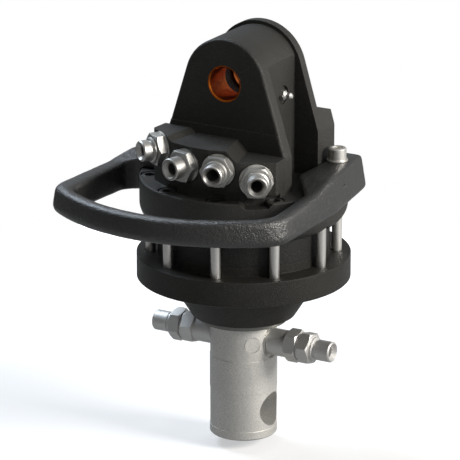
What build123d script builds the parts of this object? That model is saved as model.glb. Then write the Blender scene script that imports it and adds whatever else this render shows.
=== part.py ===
"""Hydraulic rotator for a crane tip: a vane motor housing hung by its lug, its shaft turning without end.

Millimetres, +Z up. The origin is on the slewing axis at the lower end of the shaft. X runs along the
front face of the lug and Y points away from the hose ports.
"""

import os
from math import cos, hypot, radians, sin, sqrt, tan

from build123d import *

# Fits, as radial or axial clearance
RUNNING = 0.05
SEATED = 0.02
FACE_GAP = 0.1
THREAD_CLEARANCE = 0.05
BOLT_CLEARANCE = 0.6
SUNK = 0.3

# Heights along the slewing axis, from the shaft's lower end up to the suspension bore
SHAFT_LENGTH_BELOW = 127.7
GLAND_DROP = 6.4
CONE_HEIGHT = 40.0
FLANGE_THICKNESS = 25.6
SPIGOT_HEIGHT = 8.7
STATOR_HEIGHT = 25.5
DISC_THICKNESS = 45.3
BORE_RISE = 102.4

COVER_BOTTOM = SHAFT_LENGTH_BELOW
GLAND_BOTTOM = COVER_BOTTOM - GLAND_DROP
FLANGE_BOTTOM = COVER_BOTTOM + CONE_HEIGHT
FLANGE_TOP = FLANGE_BOTTOM + FLANGE_THICKNESS
STATOR_BOTTOM = FLANGE_TOP + SPIGOT_HEIGHT
DISC_BOTTOM = STATOR_BOTTOM + STATOR_HEIGHT
DISC_TOP = DISC_BOTTOM + DISC_THICKNESS
BORE_HEIGHT = DISC_TOP + BORE_RISE

# Shaft
SHAFT_RADIUS = 34.25
SHAFT_END_CHAMFER = 1.5
PIN_HOLE_RADIUS = 17.6
PIN_HOLE_HEIGHT = 29.0
PIN_RELIEF_DEPTH = 0.4
PIN_RELIEF_MARGIN = 2.4
SEAL_JOURNAL_STEP = 0.4
SPIGOT_TOP_GAP = 0.5
BUSH_JOURNAL_STEP = 7.75
THRUST_FLANGE_WIDTH = 22.0
HUB_RADIUS = 38.0
SWIVEL_RADIUS = 30.0
SWIVEL_TOP_GAP = 3.8
SIDE_PORT_DROP = 26.2
SIDE_SPOTFACE_RADIUS = 17.0
SIDE_SPOTFACE_DEPTH = 3.25
PLUG_RISE = 0.5
PLUG_RADIUS = 7.9
PLUG_THICKNESS = 3.0
PLUG_SEAT_DEPTH = 4.05
PLUG_ANGLE = 45.0
PLUG_SPIGOT_RADIUS = 5.9
PLUG_SPIGOT_LENGTH = 7.0

# Seal gland under the lower cover
GLAND_WIDTH = 10.55
GLAND_DEPTH_IN_COVER = 19.0
GLAND_SHAFT_GAP = 0.3
WIPER_WIDTH = 5.0
WIPER_HEIGHT = 5.8
WIPER_START = 1.3
LIP_SEAL_WIDTH = 6.5
LIP_SEAL_HEIGHT = 7.0
LIP_SEAL_START = 11.7
LIP_RELIEF = 1.2

# Bearings and the motor
BUSH_WALL = 6.0
BUSH_LENGTH = 24.0
BUSH_SHELF = 1.0
THRUST_WASHER_THICKNESS = 3.5
THRUST_WASHER_GAP = 2.0
SIDE_PLATE_MARGIN = 3.6
SIDE_PLATE_THICKNESS = 11.0
UPPER_BUSH_WALL = 6.0
UPPER_BUSH_LENGTH = 18.0
UPPER_BUSH_START = 2.0
SWIVEL_SEAL_COUNT = 3
SWIVEL_SEAL_HEIGHT = 2.6
SWIVEL_SEAL_DEPTH = 3.2
SWIVEL_SEAL_PITCH = 5.4
STATOR_WALL = 18.5
CAM_LIFT = 5.7
VANE_COUNT = 8
VANE_THICKNESS = 5.0
VANE_LENGTH = 15.6
VANE_FOOT_GAP = 1.4
ROTOR_WEB = 6.5
ROTOR_CLEARANCE = 0.5
KEY_WIDTH = 10.0
KEY_HEIGHT = 8.0
KEY_DEPTH_IN_SHAFT = 5.0
O_RING_RADIUS = 1.2
O_RING_MARGIN = 4.4
DOWEL_RADIUS = 3.0
DOWEL_EDGE_DISTANCE = 5.0
DOWEL_HALF_LENGTH = 5.0

# Lower cover
COVER_NOSE_WALL = 8.3
CONE_FLARE = 25.6
FLANGE_RIM = 14.3
FLANGE_CHAMFER = 0.7
COVER_CAVITY_GAP = 2.0
COVER_THROAT_GAP = 1.25

# Clamping screws round the housing
SCREW_COUNT = 10
SCREW_TRACK_GAP = 7.0
SCREW_FIRST_ANGLE = 12.3
SCREW_THREAD_RADIUS = 6.0
SCREW_WAIST_RADIUS = 5.15
SCREW_HEAD_RADIUS = 9.0
SCREW_HEAD_HEIGHT = 12.0
SCREW_SOCKET_ACROSS = 10.0
SCREW_SOCKET_DEPTH = 6.0
SCREW_THREAD_LENGTH = 22.0
COUNTERBORE_RADIUS = 10.0
SPOTFACE_RISE = 9.5
SPOTFACE_RADIUS = 7.4
SCALLOP_HEIGHT = 4.0
GUARD_PAD_ANGLES = (120.0, 264.0)

# Upper housing and its lug
DISC_RIM = 11.0
DISC_LOWER_FILLET = 19.0
DISC_TOP_CHAMFER = 1.2
LUG_FRONT = 39.3
LUG_BACK = 39.3
RIB_THICKNESS = 13.3
RIB_ARC_RADIUS = 45.5
RIB_SLOPE = 17.5
RIB_HALF_WIDTH = 69.0
RIB_EDGE_RADIUS = 3.0
PLINTH_HEIGHT = 58.2
PLINTH_STEP = 1.0
CORE_INSET = 4.5
PLATE_THICKNESS = 9.8
PLATE_ARC_RADIUS = 49.1
PLATE_SLOPE = 16.5
PLATE_HALF_WIDTH = 68.0
BACK_BLOCK_DEPTH = 24.7
BACK_BLOCK_HEIGHT = 68.2
BACK_BLOCK_DROP = 8.0
SHOULDER_RADIUS = 14.0
PIN_BORE_RADIUS = 16.6
PIN_BUSH_WALL = 1.95
PIN_BUSH_LENGTH = 31.0
NIPPLE_SIDE = 7.0
NIPPLE_DROP = 16.7
NIPPLE_RECESS_RADIUS = 9.6
NIPPLE_RECESS_DEPTH = 2.5
GREASE_THREAD_RADIUS = 4.0
GREASE_THREAD_LENGTH = 6.0
GREASE_HEX_ACROSS = 9.0
GREASE_HEX_HEIGHT = 4.6
GREASE_HEAD_RADIUS = 3.25
GREASE_HEIGHT = 12.5

# Port block at the front of the housing
BLOCK_HEIGHT = 53.2
BLOCK_MIDDLE_DROP = 4.8
BLOCK_LOW_DROP = 11.2
BLOCK_RIGHT_SIDE = 69.3
BLOCK_RIGHT_CORNER = 71.2
BLOCK_LEFT_SIDE = 67.3
BLOCK_LEFT_CORNER = 68.6
INNER_FACET_DISTANCE = 86.4
OUTER_FACET_DISTANCE = 88.2
INNER_PORT_ANGLE = 13.4
OUTER_PORT_ANGLE = 32.0
FRONT_FLAT_HALF_WIDTH = 9.0
BLOCK_EDGE_RADIUS = 3.0
BLOCK_LEFT_EDGE_RADIUS = 6.0
LEFT_STEP = (-37.6, -31.7)
LEFT_STEP_TURN = -7.0
RIGHT_STEP = (15.2, 26.8)
RIGHT_STEP_TURN = 15.0
POCKET_HALF_WIDTH = 11.5
POCKET_DEPTH = 5.2

# Ports: seat planes and sideways offsets of the adapters, heights over the disc from the left one on
INNER_SEAT_DEPTH = 2.2
OUTER_SEAT_DEPTH = 0.3
INNER_PORT_OFFSET = 1.4
OUTER_PORT_OFFSET = 8.2
PORT_RISES = (37.0, 28.2, 28.2, 19.3)
PLAIN_STUB_PORT = 2

# Hose port adapters, thread radius and lengths along their own axis
THREAD_RADIUS = 10.475
ADAPTER_BORE_RADIUS = 6.0
ADAPTER_CONE_WIDTH = 2.6
HEX_ACROSS_FLATS = 29.5
UPPER_HEX_LENGTH = 9.0
UPPER_STUB_LENGTH = 13.7
PORT_SEAL_RADIUS = 16.8
PORT_SEAL_THICKNESS = 1.4
PORT_SPIGOT_LENGTH = 12.0
PORT_HOLE_DEPTH = 15.0
PORT_DRILL_RADIUS = 6.0
PORT_DRILL_DEPTH = 16.0
PORT_SPOTFACE_RADIUS = 18.2

# Side adapters and nipples on the shaft
SIDE_SEAL_RADIUS = 14.8
SIDE_SEAL_THICKNESS = 1.5
SIDE_BODY_RADIUS = 13.75
SIDE_BODY_LENGTH = 20.5
SIDE_HEX_LENGTH = 13.0
NIPPLE_GAP = 3.0
NIPPLE_HEX_LENGTH = 11.5
NIPPLE_STUB_LENGTH = 22.0
NIPPLE_SPIGOT_RADIUS = 9.0
NIPPLE_SPIGOT_LENGTH = 12.0
SIDE_HEX_TURN = 12.0

# Hose guard: its outside plan is drawn at its underside and leans inwards from there
GUARD_PAD_THICKNESS = 13.7
GUARD_ARM_DROP = 7.0
GUARD_BOW_DROP = 5.7
GUARD_BAR_HEIGHT = 25.3
GUARD_DRAFT_ANGLE = 9.0
GUARD_BOW_CENTRE = (-19.0, 13.0)
GUARD_BOW_RADIUS = 195.0
GUARD_BAR_WIDTH = 17.5
GUARD_LUG_GAP = 0.8
GUARD_BLOCK_GAP = 1.0
GUARD_DISC_GAP = 0.5
GUARD_RIGHT_CORNER_RADIUS = 32.0
GUARD_LEFT_CORNER_RADIUS = 27.0
GUARD_INNER_CORNER_RADIUS = 16.0
GUARD_TOP_EDGE_RADIUS = 5.0
GUARD_BOTTOM_EDGE_RADIUS = 7.0
GUARD_PAD_CORNER_RADIUS = 9.0
GUARD_INNER_EDGE_RADIUS = 2.5
GUARD_INNER_BOTTOM_RADIUS = 6.0
GUARD_SIDE_BLEND_RADIUS = 60.0
GUARD_SLOPE_BLEND_RADIUS = 60.0
GUARD_RIGHT_SIDE = [(62.0, 86.0), (96.5, 86.0), (112.5, -8.0), (120.5, -200.0)]
GUARD_LEFT_SIDE = [(-153.0, -200.0), (-135.5, -36.0), (-122.5, 22.5), (-60.0, 35.0)]
WINDOW_RIGHT_SIDE = [(56.0, 6.0), (95.0, -47.0), (103.0, -200.0)]
WINDOW_LEFT_SIDE = [(-124.0, -200.0), (-113.5, -43.0), (-104.5, -33.5), (-50.0, -33.5)]
WINDOW_BLEND_RADIUS = 10.0
GUARD_KINK_REAR = -14.0
GUARD_KINK_FRONT = -46.0
GUARD_WASHER_RADIUS = 10.5
GUARD_WASHER_THICKNESS = 1.5

os.makedirs("parts", exist_ok=True)


def save(shape, name):
    """Write one sub-part to its own file."""
    shape.label = name
    export_step(shape, f"parts/{name}.step")


def turned(points):
    """Solid of revolution about Z from (radius, height) points."""
    profile = make_face(Polyline(*[(r, 0, z) for r, z in points], close=True))
    return revolve(profile, Axis.Z)


def ring(outer, inner, bottom, top):
    """Plain ring about Z."""
    return turned([(inner, bottom), (outer, bottom), (outer, top), (inner, top)])


def rod(radius, bottom, top):
    """Plain cylinder about Z from bottom to top."""
    return Pos(0, 0, bottom) * Cylinder(radius, top - bottom, align=(Align.CENTER, Align.CENTER, Align.MIN))


def hexagon(across_flats, length):
    """Hexagonal prism on Z from 0 to length, its corners turned off at both ends."""
    corner = across_flats / 2 / cos(radians(30))
    prism = extrude(RegularPolygon(corner, 6), length)
    relief = corner - across_flats / 2
    low = relief * tan(radians(30))
    barrel = turned([
        (0, 0), (corner - relief, 0), (corner + 0.1, low), (corner + 0.1, length - low),
        (corner - relief, length), (0, length),
    ])
    return prism & barrel


def around(radius, angle):
    """Place at this radius, its angle counted from -Y towards +X."""
    turn = radians(angle)
    return radius * sin(turn), -radius * cos(turn)


def facing(distance, angle, height):
    """Place on a vertical face: local Z points outwards at this angle from -Y towards +X, local Y up."""
    turn = radians(angle)
    outwards = (sin(turn), -cos(turn), 0)
    x, y = around(distance, angle)
    return Plane(origin=(x, y, height), x_dir=(cos(turn), sin(turn), 0), z_dir=outwards).location


def rounded_at(plan, points, radius):
    """Round the plan's corners that lie at these points."""
    corners = plan.vertices().filter_by(lambda v: any(hypot(v.X - x, v.Y - y) < 0.01 for x, y in points))
    return fillet(corners, radius)


def one_node(pieces):
    """Group of separate solids for one file."""
    return Compound(children=[solid for piece in pieces for solid in piece.solids()])


def port_frames():
    """Seat places of the four upper ports, from the left one to the right one."""
    outer_seat = OUTER_FACET_DISTANCE - OUTER_SEAT_DEPTH
    inner_seat = INNER_FACET_DISTANCE - INNER_SEAT_DEPTH
    places = [
        (-OUTER_PORT_ANGLE, outer_seat, -OUTER_PORT_OFFSET),
        (-INNER_PORT_ANGLE, inner_seat, INNER_PORT_OFFSET),
        (INNER_PORT_ANGLE, inner_seat, -INNER_PORT_OFFSET),
        (OUTER_PORT_ANGLE, outer_seat, OUTER_PORT_OFFSET),
    ]
    frames = []
    for (angle, distance, offset), rise in zip(places, PORT_RISES):
        frames.append(facing(distance, angle, DISC_TOP + rise) * Pos(offset, 0, 0))
    return frames


def screw_angles():
    """Angles of all clamping screws, in order round the housing."""
    return [SCREW_FIRST_ANGLE + index * 360 / SCREW_COUNT for index in range(SCREW_COUNT)]


# Clamping screws: the one nearest to each pad of the guard carries it
GUARD_ANGLES = [min(screw_angles(), key=lambda angle: abs(angle - pad)) for pad in GUARD_PAD_ANGLES]
PLAIN_ANGLES = [angle for angle in screw_angles() if angle not in GUARD_ANGLES]

# Heights that follow from those at the top
HEAD_SEAT = DISC_TOP - SCREW_HEAD_HEIGHT - SUNK
SHAFT_TOP = DISC_TOP - SWIVEL_TOP_GAP
SIDE_PORT_HEIGHT = COVER_BOTTOM - SIDE_PORT_DROP
PLUG_HEIGHT = SIDE_PORT_HEIGHT + PLUG_RISE
SPIGOT_TOP = SIDE_PORT_HEIGHT - SIDE_SPOTFACE_RADIUS - SPIGOT_TOP_GAP
GLAND_TOP = COVER_BOTTOM + GLAND_DEPTH_IN_COVER
BUSH_BOTTOM = GLAND_TOP + BUSH_SHELF
CAVITY_FLOOR = BUSH_BOTTOM + BUSH_LENGTH
SIDE_PLATE_BOTTOM = STATOR_BOTTOM - SIDE_PLATE_THICKNESS
THRUST_FLANGE_BOTTOM = CAVITY_FLOOR + THRUST_WASHER_THICKNESS
THRUST_FLANGE_TOP = SIDE_PLATE_BOTTOM - THRUST_WASHER_THICKNESS - FACE_GAP
UPPER_BUSH_BOTTOM = DISC_BOTTOM + UPPER_BUSH_START
UPPER_BUSH_TOP = UPPER_BUSH_BOTTOM + UPPER_BUSH_LENGTH
FIRST_SWIVEL_SEAL = UPPER_BUSH_TOP + SWIVEL_SEAL_HEIGHT
SPOTFACE_HEIGHT = DISC_BOTTOM + SPOTFACE_RISE
NIPPLE_HEIGHT = BORE_HEIGHT - NIPPLE_DROP
PLINTH_TOP = DISC_TOP + PLINTH_HEIGHT
BACK_BLOCK_TOP = DISC_TOP + BACK_BLOCK_HEIGHT
BLOCK_HIGH = DISC_TOP + BLOCK_HEIGHT
BLOCK_MIDDLE = BLOCK_HIGH - BLOCK_MIDDLE_DROP
BLOCK_LOW = BLOCK_MIDDLE - BLOCK_LOW_DROP
POCKET_FLOOR = DISC_TOP - POCKET_DEPTH
GUARD_PAD_TOP = DISC_TOP + GUARD_PAD_THICKNESS
GUARD_ARM_TOP = GUARD_PAD_TOP - GUARD_ARM_DROP
GUARD_BOW_TOP = GUARD_ARM_TOP - GUARD_BOW_DROP
GUARD_BOTTOM = GUARD_BOW_TOP - GUARD_BAR_HEIGHT

# Radii round the shaft, from the inside out
SEAL_JOURNAL_RADIUS = SHAFT_RADIUS - SEAL_JOURNAL_STEP
GLAND_RADIUS = SEAL_JOURNAL_RADIUS + GLAND_WIDTH
WIPER_RADIUS = SEAL_JOURNAL_RADIUS + WIPER_WIDTH
LIP_SEAL_RADIUS = SEAL_JOURNAL_RADIUS + LIP_SEAL_WIDTH
JOURNAL_RADIUS = SHAFT_RADIUS + BUSH_JOURNAL_STEP
BUSH_RADIUS = JOURNAL_RADIUS + BUSH_WALL
THRUST_FLANGE_RADIUS = JOURNAL_RADIUS + THRUST_FLANGE_WIDTH
COVER_THROAT_RADIUS = JOURNAL_RADIUS + COVER_THROAT_GAP
COVER_CAVITY_RADIUS = THRUST_FLANGE_RADIUS + COVER_CAVITY_GAP
COVER_NOSE_RADIUS = GLAND_RADIUS + COVER_NOSE_WALL
CONE_TOP_RADIUS = COVER_NOSE_RADIUS + CONE_FLARE
UPPER_BUSH_RADIUS = SWIVEL_RADIUS + UPPER_BUSH_WALL
SIDE_SEAT_DISTANCE = SHAFT_RADIUS - SIDE_SPOTFACE_DEPTH
SIDE_HEX_START = SIDE_SEAT_DISTANCE + SIDE_SEAL_THICKNESS + SIDE_BODY_LENGTH
PLUG_SEAT_DISTANCE = SHAFT_RADIUS - PLUG_SEAT_DEPTH

# Radii round the motor, from the hub out to the screws, the flange and the disc
SLOT_FLOOR_RADIUS = HUB_RADIUS + ROTOR_WEB
VANE_FOOT_RADIUS = SLOT_FLOOR_RADIUS + VANE_FOOT_GAP
ROTOR_RADIUS = VANE_FOOT_RADIUS + VANE_LENGTH + SUNK
CAM_SHORT_RADIUS = ROTOR_RADIUS + ROTOR_CLEARANCE
CAM_LONG_RADIUS = CAM_SHORT_RADIUS + CAM_LIFT
O_RING_TRACK_RADIUS = CAM_LONG_RADIUS + O_RING_MARGIN
SIDE_PLATE_RADIUS = O_RING_TRACK_RADIUS + SIDE_PLATE_MARGIN
STATOR_RADIUS = CAM_LONG_RADIUS + STATOR_WALL
DOWEL_TRACK_RADIUS = STATOR_RADIUS - DOWEL_EDGE_DISTANCE
SCREW_TRACK_RADIUS = STATOR_RADIUS + SCREW_TRACK_GAP
FLANGE_RADIUS = SCREW_TRACK_RADIUS + FLANGE_RIM
DISC_RADIUS = SCREW_TRACK_RADIUS + DISC_RIM

LUG_DEPTH = LUG_FRONT + LUG_BACK
CORE_HALF_WIDTH = RIB_ARC_RADIUS - CORE_INSET
PIN_BUSH_RADIUS = PIN_BORE_RADIUS + PIN_BUSH_WALL
PORT_HOLE_RADIUS = THREAD_RADIUS + THREAD_CLEARANCE


def lug_outline(arc_radius, slope, half_width, bottom):
    """Lug face in the X-Z plane: an arc over the bore, sloping tangent sides and upright legs."""
    angle = radians(slope)
    touch_x = arc_radius * cos(angle)
    touch_z = BORE_HEIGHT + arc_radius * sin(angle)
    knee_z = touch_z - (half_width - touch_x) / tan(angle)
    arc = ThreePointArc((touch_x, touch_z), (0, BORE_HEIGHT + arc_radius), (-touch_x, touch_z))
    legs = Polyline(
        (-touch_x, touch_z), (-half_width, knee_z), (-half_width, bottom),
        (half_width, bottom), (half_width, knee_z), (touch_x, touch_z),
    )
    face = make_face(arc + legs)
    knees = face.vertices().filter_by(lambda v: abs(v.Y - knee_z) < 0.01)
    return fillet(knees, SHOULDER_RADIUS)


def upright(face, back, thickness):
    """Extrude an X-Z face towards -Y, from the plane Y=back."""
    plane = Plane(origin=(0, back, 0), x_dir=(1, 0, 0), z_dir=(0, -1, 0))
    return extrude(plane * face, thickness)


def front_rib():
    """Front cheek of the lug, its front edge rounded, on a slightly proud plinth."""
    outline = lug_outline(RIB_ARC_RADIUS, RIB_SLOPE, RIB_HALF_WIDTH, DISC_TOP)
    rib = upright(outline, -LUG_FRONT + RIB_THICKNESS, RIB_THICKNESS)
    front_face = rib.faces().sort_by(Axis.Y)[0]
    rim = front_face.edges().filter_by(lambda e: e.center().Z > DISC_TOP + 1)
    rib = fillet(rim, RIB_EDGE_RADIUS)
    plinth = Pos(0, -PLINTH_STEP, 0) * rib
    below = Pos(0, 0, DISC_TOP) * Box(
        3 * RIB_HALF_WIDTH, 3 * LUG_DEPTH, PLINTH_TOP - DISC_TOP,
        align=(Align.CENTER, Align.CENTER, Align.MIN),
    )
    return rib + (plinth & below)


def lug_core():
    """Straight-sided middle of the lug between the front cheek and the rear plate."""
    rise = sqrt(RIB_ARC_RADIUS ** 2 - CORE_HALF_WIDTH ** 2)
    arc = ThreePointArc(
        (CORE_HALF_WIDTH, BORE_HEIGHT + rise),
        (0, BORE_HEIGHT + RIB_ARC_RADIUS),
        (-CORE_HALF_WIDTH, BORE_HEIGHT + rise),
    )
    legs = Polyline(
        (-CORE_HALF_WIDTH, BORE_HEIGHT + rise), (-CORE_HALF_WIDTH, DISC_TOP),
        (CORE_HALF_WIDTH, DISC_TOP), (CORE_HALF_WIDTH, BORE_HEIGHT + rise),
    )
    depth = LUG_DEPTH - RIB_THICKNESS - PLATE_THICKNESS
    return upright(make_face(arc + legs), LUG_BACK - PLATE_THICKNESS, depth)


def rear_plate():
    """Rear cheek of the lug with the thick block behind its lower half."""
    outline = lug_outline(PLATE_ARC_RADIUS, PLATE_SLOPE, PLATE_HALF_WIDTH, DISC_TOP)
    plate = upright(outline, LUG_BACK, PLATE_THICKNESS)
    block = upright(outline, LUG_BACK + BACK_BLOCK_DEPTH, BACK_BLOCK_DEPTH)
    high = BORE_HEIGHT + 2 * PLATE_ARC_RADIUS
    back = LUG_BACK + BACK_BLOCK_DEPTH
    above = make_face(Polyline(
        (LUG_BACK, BACK_BLOCK_TOP), (back + 1, BACK_BLOCK_TOP - BACK_BLOCK_DROP),
        (back + 1, high), (LUG_BACK, high), close=True,
    ))
    sideways = Plane(origin=(-2 * PLATE_HALF_WIDTH, 0, 0), x_dir=(0, 1, 0), z_dir=(1, 0, 0))
    cutter = extrude(sideways * above, 4 * PLATE_HALF_WIDTH)
    return plate + (block - cutter)


def facet_crossing():
    """Corner in plan where the inner and outer facets of the port block meet, right side."""
    inner = radians(INNER_PORT_ANGLE)
    outer = radians(OUTER_PORT_ANGLE)
    det = -sin(inner) * cos(outer) + cos(inner) * sin(outer)
    x = (-INNER_FACET_DISTANCE * cos(outer) + OUTER_FACET_DISTANCE * cos(inner)) / det
    y = (sin(inner) * OUTER_FACET_DISTANCE - sin(outer) * INNER_FACET_DISTANCE) / det
    return x, y


def on_facet(distance, angle, x):
    """Y on a facet at this X."""
    turn = radians(angle)
    return -(distance - x * sin(turn)) / cos(turn)


def port_block():
    """Faceted block that carries the four ports, its top in three steps."""
    knee = facet_crossing()
    flat = on_facet(INNER_FACET_DISTANCE, INNER_PORT_ANGLE, FRONT_FLAT_HALF_WIDTH)
    right = [
        (FRONT_FLAT_HALF_WIDTH, flat), knee,
        (BLOCK_RIGHT_CORNER, on_facet(OUTER_FACET_DISTANCE, OUTER_PORT_ANGLE, BLOCK_RIGHT_CORNER)),
        (BLOCK_RIGHT_SIDE, -LUG_FRONT),
    ]
    left_corner = (-BLOCK_LEFT_CORNER, on_facet(OUTER_FACET_DISTANCE, OUTER_PORT_ANGLE, BLOCK_LEFT_CORNER))
    left = [(-BLOCK_LEFT_SIDE, -LUG_FRONT), left_corner, (-knee[0], knee[1]), (-FRONT_FLAT_HALF_WIDTH, flat)]
    outline = make_face(Polyline(*right, *left, close=True))
    others = [point for point in right[:3] + left[2:]]
    outline = rounded_at(outline, others, BLOCK_EDGE_RADIUS)
    outline = rounded_at(outline, [left_corner], BLOCK_LEFT_EDGE_RADIUS)
    block = extrude(Pos(0, 0, DISC_TOP) * outline, BLOCK_HIGH - DISC_TOP)
    sky = 2 * BLOCK_HIGH - DISC_TOP
    wide = 2 * RIB_HALF_WIDTH
    front = Plane(origin=(0, -LUG_FRONT, 0), x_dir=(1, 0, 0), z_dir=(0, -1, 0))
    left_run = (LEFT_STEP[1] - LEFT_STEP[0]) / (BLOCK_HIGH - BLOCK_MIDDLE)
    left_cut = [
        (LEFT_STEP[1], BLOCK_MIDDLE), (wide, BLOCK_MIDDLE), (wide, sky),
        (LEFT_STEP[0] - left_run * (sky - BLOCK_HIGH), sky),
    ]
    right_run = (RIGHT_STEP[1] - RIGHT_STEP[0]) / (BLOCK_MIDDLE - BLOCK_LOW)
    right_cut = [
        (RIGHT_STEP[1], BLOCK_LOW), (wide, BLOCK_LOW), (wide, sky),
        (RIGHT_STEP[0] - right_run * (sky - BLOCK_MIDDLE), sky),
    ]
    for points, turn in ((left_cut, LEFT_STEP_TURN), (right_cut, RIGHT_STEP_TURN)):
        direction = (sin(radians(turn)), -cos(radians(turn)), 0)
        face = front * make_face(Polyline(*points, close=True))
        block -= extrude(face, 3 * INNER_FACET_DISTANCE, dir=direction)
    return block


def wrench_pocket():
    """Slanted pocket in the disc's edge that lets a wrench reach the lowest adapter."""
    depth = DISC_TOP - POCKET_FLOOR
    section = make_face(Polyline(
        (-POCKET_HALF_WIDTH, 0), (POCKET_HALF_WIDTH, 0),
        (POCKET_HALF_WIDTH + depth + 1, depth + 1), (-POCKET_HALF_WIDTH - depth - 1, depth + 1), close=True,
    ))
    frame = facing(OUTER_FACET_DISTANCE, OUTER_PORT_ANGLE, POCKET_FLOOR) * Pos(OUTER_PORT_OFFSET, 0, 0)
    return extrude(frame * section, DISC_RADIUS)


def port_cuts(frame):
    """Spotface, tapped hole and drilling for one adapter."""
    spotface = frame * rod(PORT_SPOTFACE_RADIUS, 0, 2 * INNER_SEAT_DEPTH)
    hole = frame * rod(PORT_HOLE_RADIUS, -PORT_HOLE_DEPTH, 1)
    drilling = frame * rod(PORT_DRILL_RADIUS, -PORT_HOLE_DEPTH - PORT_DRILL_DEPTH, 0)
    return spotface + hole + drilling


def disc_body():
    """Round lower part of the housing with its rounded lower edge and the shaft's swivel bore."""
    low = DISC_BOTTOM
    top = DISC_TOP
    edge = Line((0, low), (DISC_RADIUS - DISC_LOWER_FILLET, low))
    bend = TangentArc(
        (DISC_RADIUS - DISC_LOWER_FILLET, low), (DISC_RADIUS, low + DISC_LOWER_FILLET), tangent=(1, 0),
    )
    rest = Polyline(
        (DISC_RADIUS, low + DISC_LOWER_FILLET), (DISC_RADIUS, top - DISC_TOP_CHAMFER),
        (DISC_RADIUS - DISC_TOP_CHAMFER, top), (0, top), (0, low),
    )
    profile = Plane.XZ * make_face(edge + bend + rest)
    between_screws = SCREW_FIRST_ANGLE + 180 / SCREW_COUNT - 90
    return Rot(0, 0, between_screws) * revolve(profile, Axis.Z)


def upper_housing():
    """Cast upper housing: disc, port block, lug and the bores in them."""
    body = disc_body() + front_rib() + lug_core() + rear_plate() + port_block()
    body -= wrench_pocket()
    for frame in port_frames():
        body -= port_cuts(frame)
    bore = Pos(0, BORE_HEIGHT) * Circle(PIN_BUSH_RADIUS + SEATED)
    body -= upright(bore, LUG_BACK + 1, LUG_DEPTH + 2 + PLINTH_STEP)
    body -= rod(UPPER_BUSH_RADIUS + SEATED, DISC_BOTTOM - 1, UPPER_BUSH_TOP + SEATED)
    body -= rod(SWIVEL_RADIUS + GLAND_SHAFT_GAP, DISC_BOTTOM, SHAFT_TOP + 1)
    for bottom in swivel_seal_heights():
        body -= ring(
            SWIVEL_RADIUS + SWIVEL_SEAL_DEPTH + SEATED, SWIVEL_RADIUS - 1,
            bottom - SEATED, bottom + SWIVEL_SEAL_HEIGHT + SEATED,
        )
    body -= o_ring_groove(DISC_BOTTOM, 1)
    dowel_hole = rod(DOWEL_RADIUS + SEATED, DISC_BOTTOM - 1, DISC_BOTTOM + DOWEL_HALF_LENGTH + SUNK)
    for x, y in dowel_places():
        body -= Pos(x, y, 0) * dowel_hole
    for angle in screw_angles():
        x, y = around(SCREW_TRACK_RADIUS, angle)
        cut = rod(SCREW_THREAD_RADIUS + BOLT_CLEARANCE, DISC_BOTTOM - 1, DISC_TOP + 1)
        cut += rod(SPOTFACE_RADIUS, DISC_BOTTOM - 1, SPOTFACE_HEIGHT)
        if angle in PLAIN_ANGLES:
            cut += rod(COUNTERBORE_RADIUS, HEAD_SEAT, DISC_TOP + SCALLOP_HEIGHT)
        body -= Pos(x, y, 0) * cut
    side = CORE_HALF_WIDTH - NIPPLE_RECESS_DEPTH
    sideways = Plane(origin=(side, NIPPLE_SIDE, NIPPLE_HEIGHT), x_dir=(0, 1, 0), z_dir=(1, 0, 0)).location
    body -= sideways * rod(NIPPLE_RECESS_RADIUS, 0, 2 * NIPPLE_RECESS_DEPTH)
    body -= sideways * rod(GREASE_THREAD_RADIUS + SEATED, -GREASE_THREAD_LENGTH - SUNK, 1)
    return body


def grease_nipple():
    """Straight grease nipple: thread, hexagon, neck and ball head."""
    side = CORE_HALF_WIDTH - NIPPLE_RECESS_DEPTH
    sideways = Plane(origin=(side, NIPPLE_SIDE, NIPPLE_HEIGHT), x_dir=(0, 1, 0), z_dir=(1, 0, 0)).location
    neck = GREASE_HEAD_RADIUS - 1
    top = GREASE_HEIGHT
    stem = turned([
        (0, -GREASE_THREAD_LENGTH), (GREASE_THREAD_RADIUS, -GREASE_THREAD_LENGTH), (GREASE_THREAD_RADIUS, 0),
        (GREASE_THREAD_RADIUS, GREASE_HEX_HEIGHT + 0.8), (neck, GREASE_HEX_HEIGHT + 2.3), (neck, top - 4.2),
        (GREASE_HEAD_RADIUS, top - 2.8), (GREASE_HEAD_RADIUS, top - 1.6), (neck - 0.4, top), (0, top),
    ])
    return sideways * (stem + hexagon(GREASE_HEX_ACROSS, GREASE_HEX_HEIGHT))


def swivel_seal_heights():
    """Bottom heights of the swivel seal rings."""
    return [FIRST_SWIVEL_SEAL + index * SWIVEL_SEAL_PITCH for index in range(SWIVEL_SEAL_COUNT)]


def o_ring_groove(face, side):
    """Ring groove for one face seal, cut above the face (side 1) or below it (side -1)."""
    depth = 2 * O_RING_RADIUS
    low, high = sorted((face - side, face + side * depth))
    half_width = O_RING_RADIUS + SUNK
    return ring(O_RING_TRACK_RADIUS + half_width, O_RING_TRACK_RADIUS - half_width, low, high)


def o_ring(face, side):
    """One face seal lying in its groove."""
    section = Plane.XZ * (Pos(O_RING_TRACK_RADIUS, face + side * O_RING_RADIUS) * Circle(O_RING_RADIUS))
    return revolve(section, Axis.Z)


def dowel_places():
    """The two dowels that key the stator ring to the housing and the cover."""
    return [around(DOWEL_TRACK_RADIUS, SCREW_FIRST_ANGLE + turn) for turn in (18.0, 198.0)]


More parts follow.
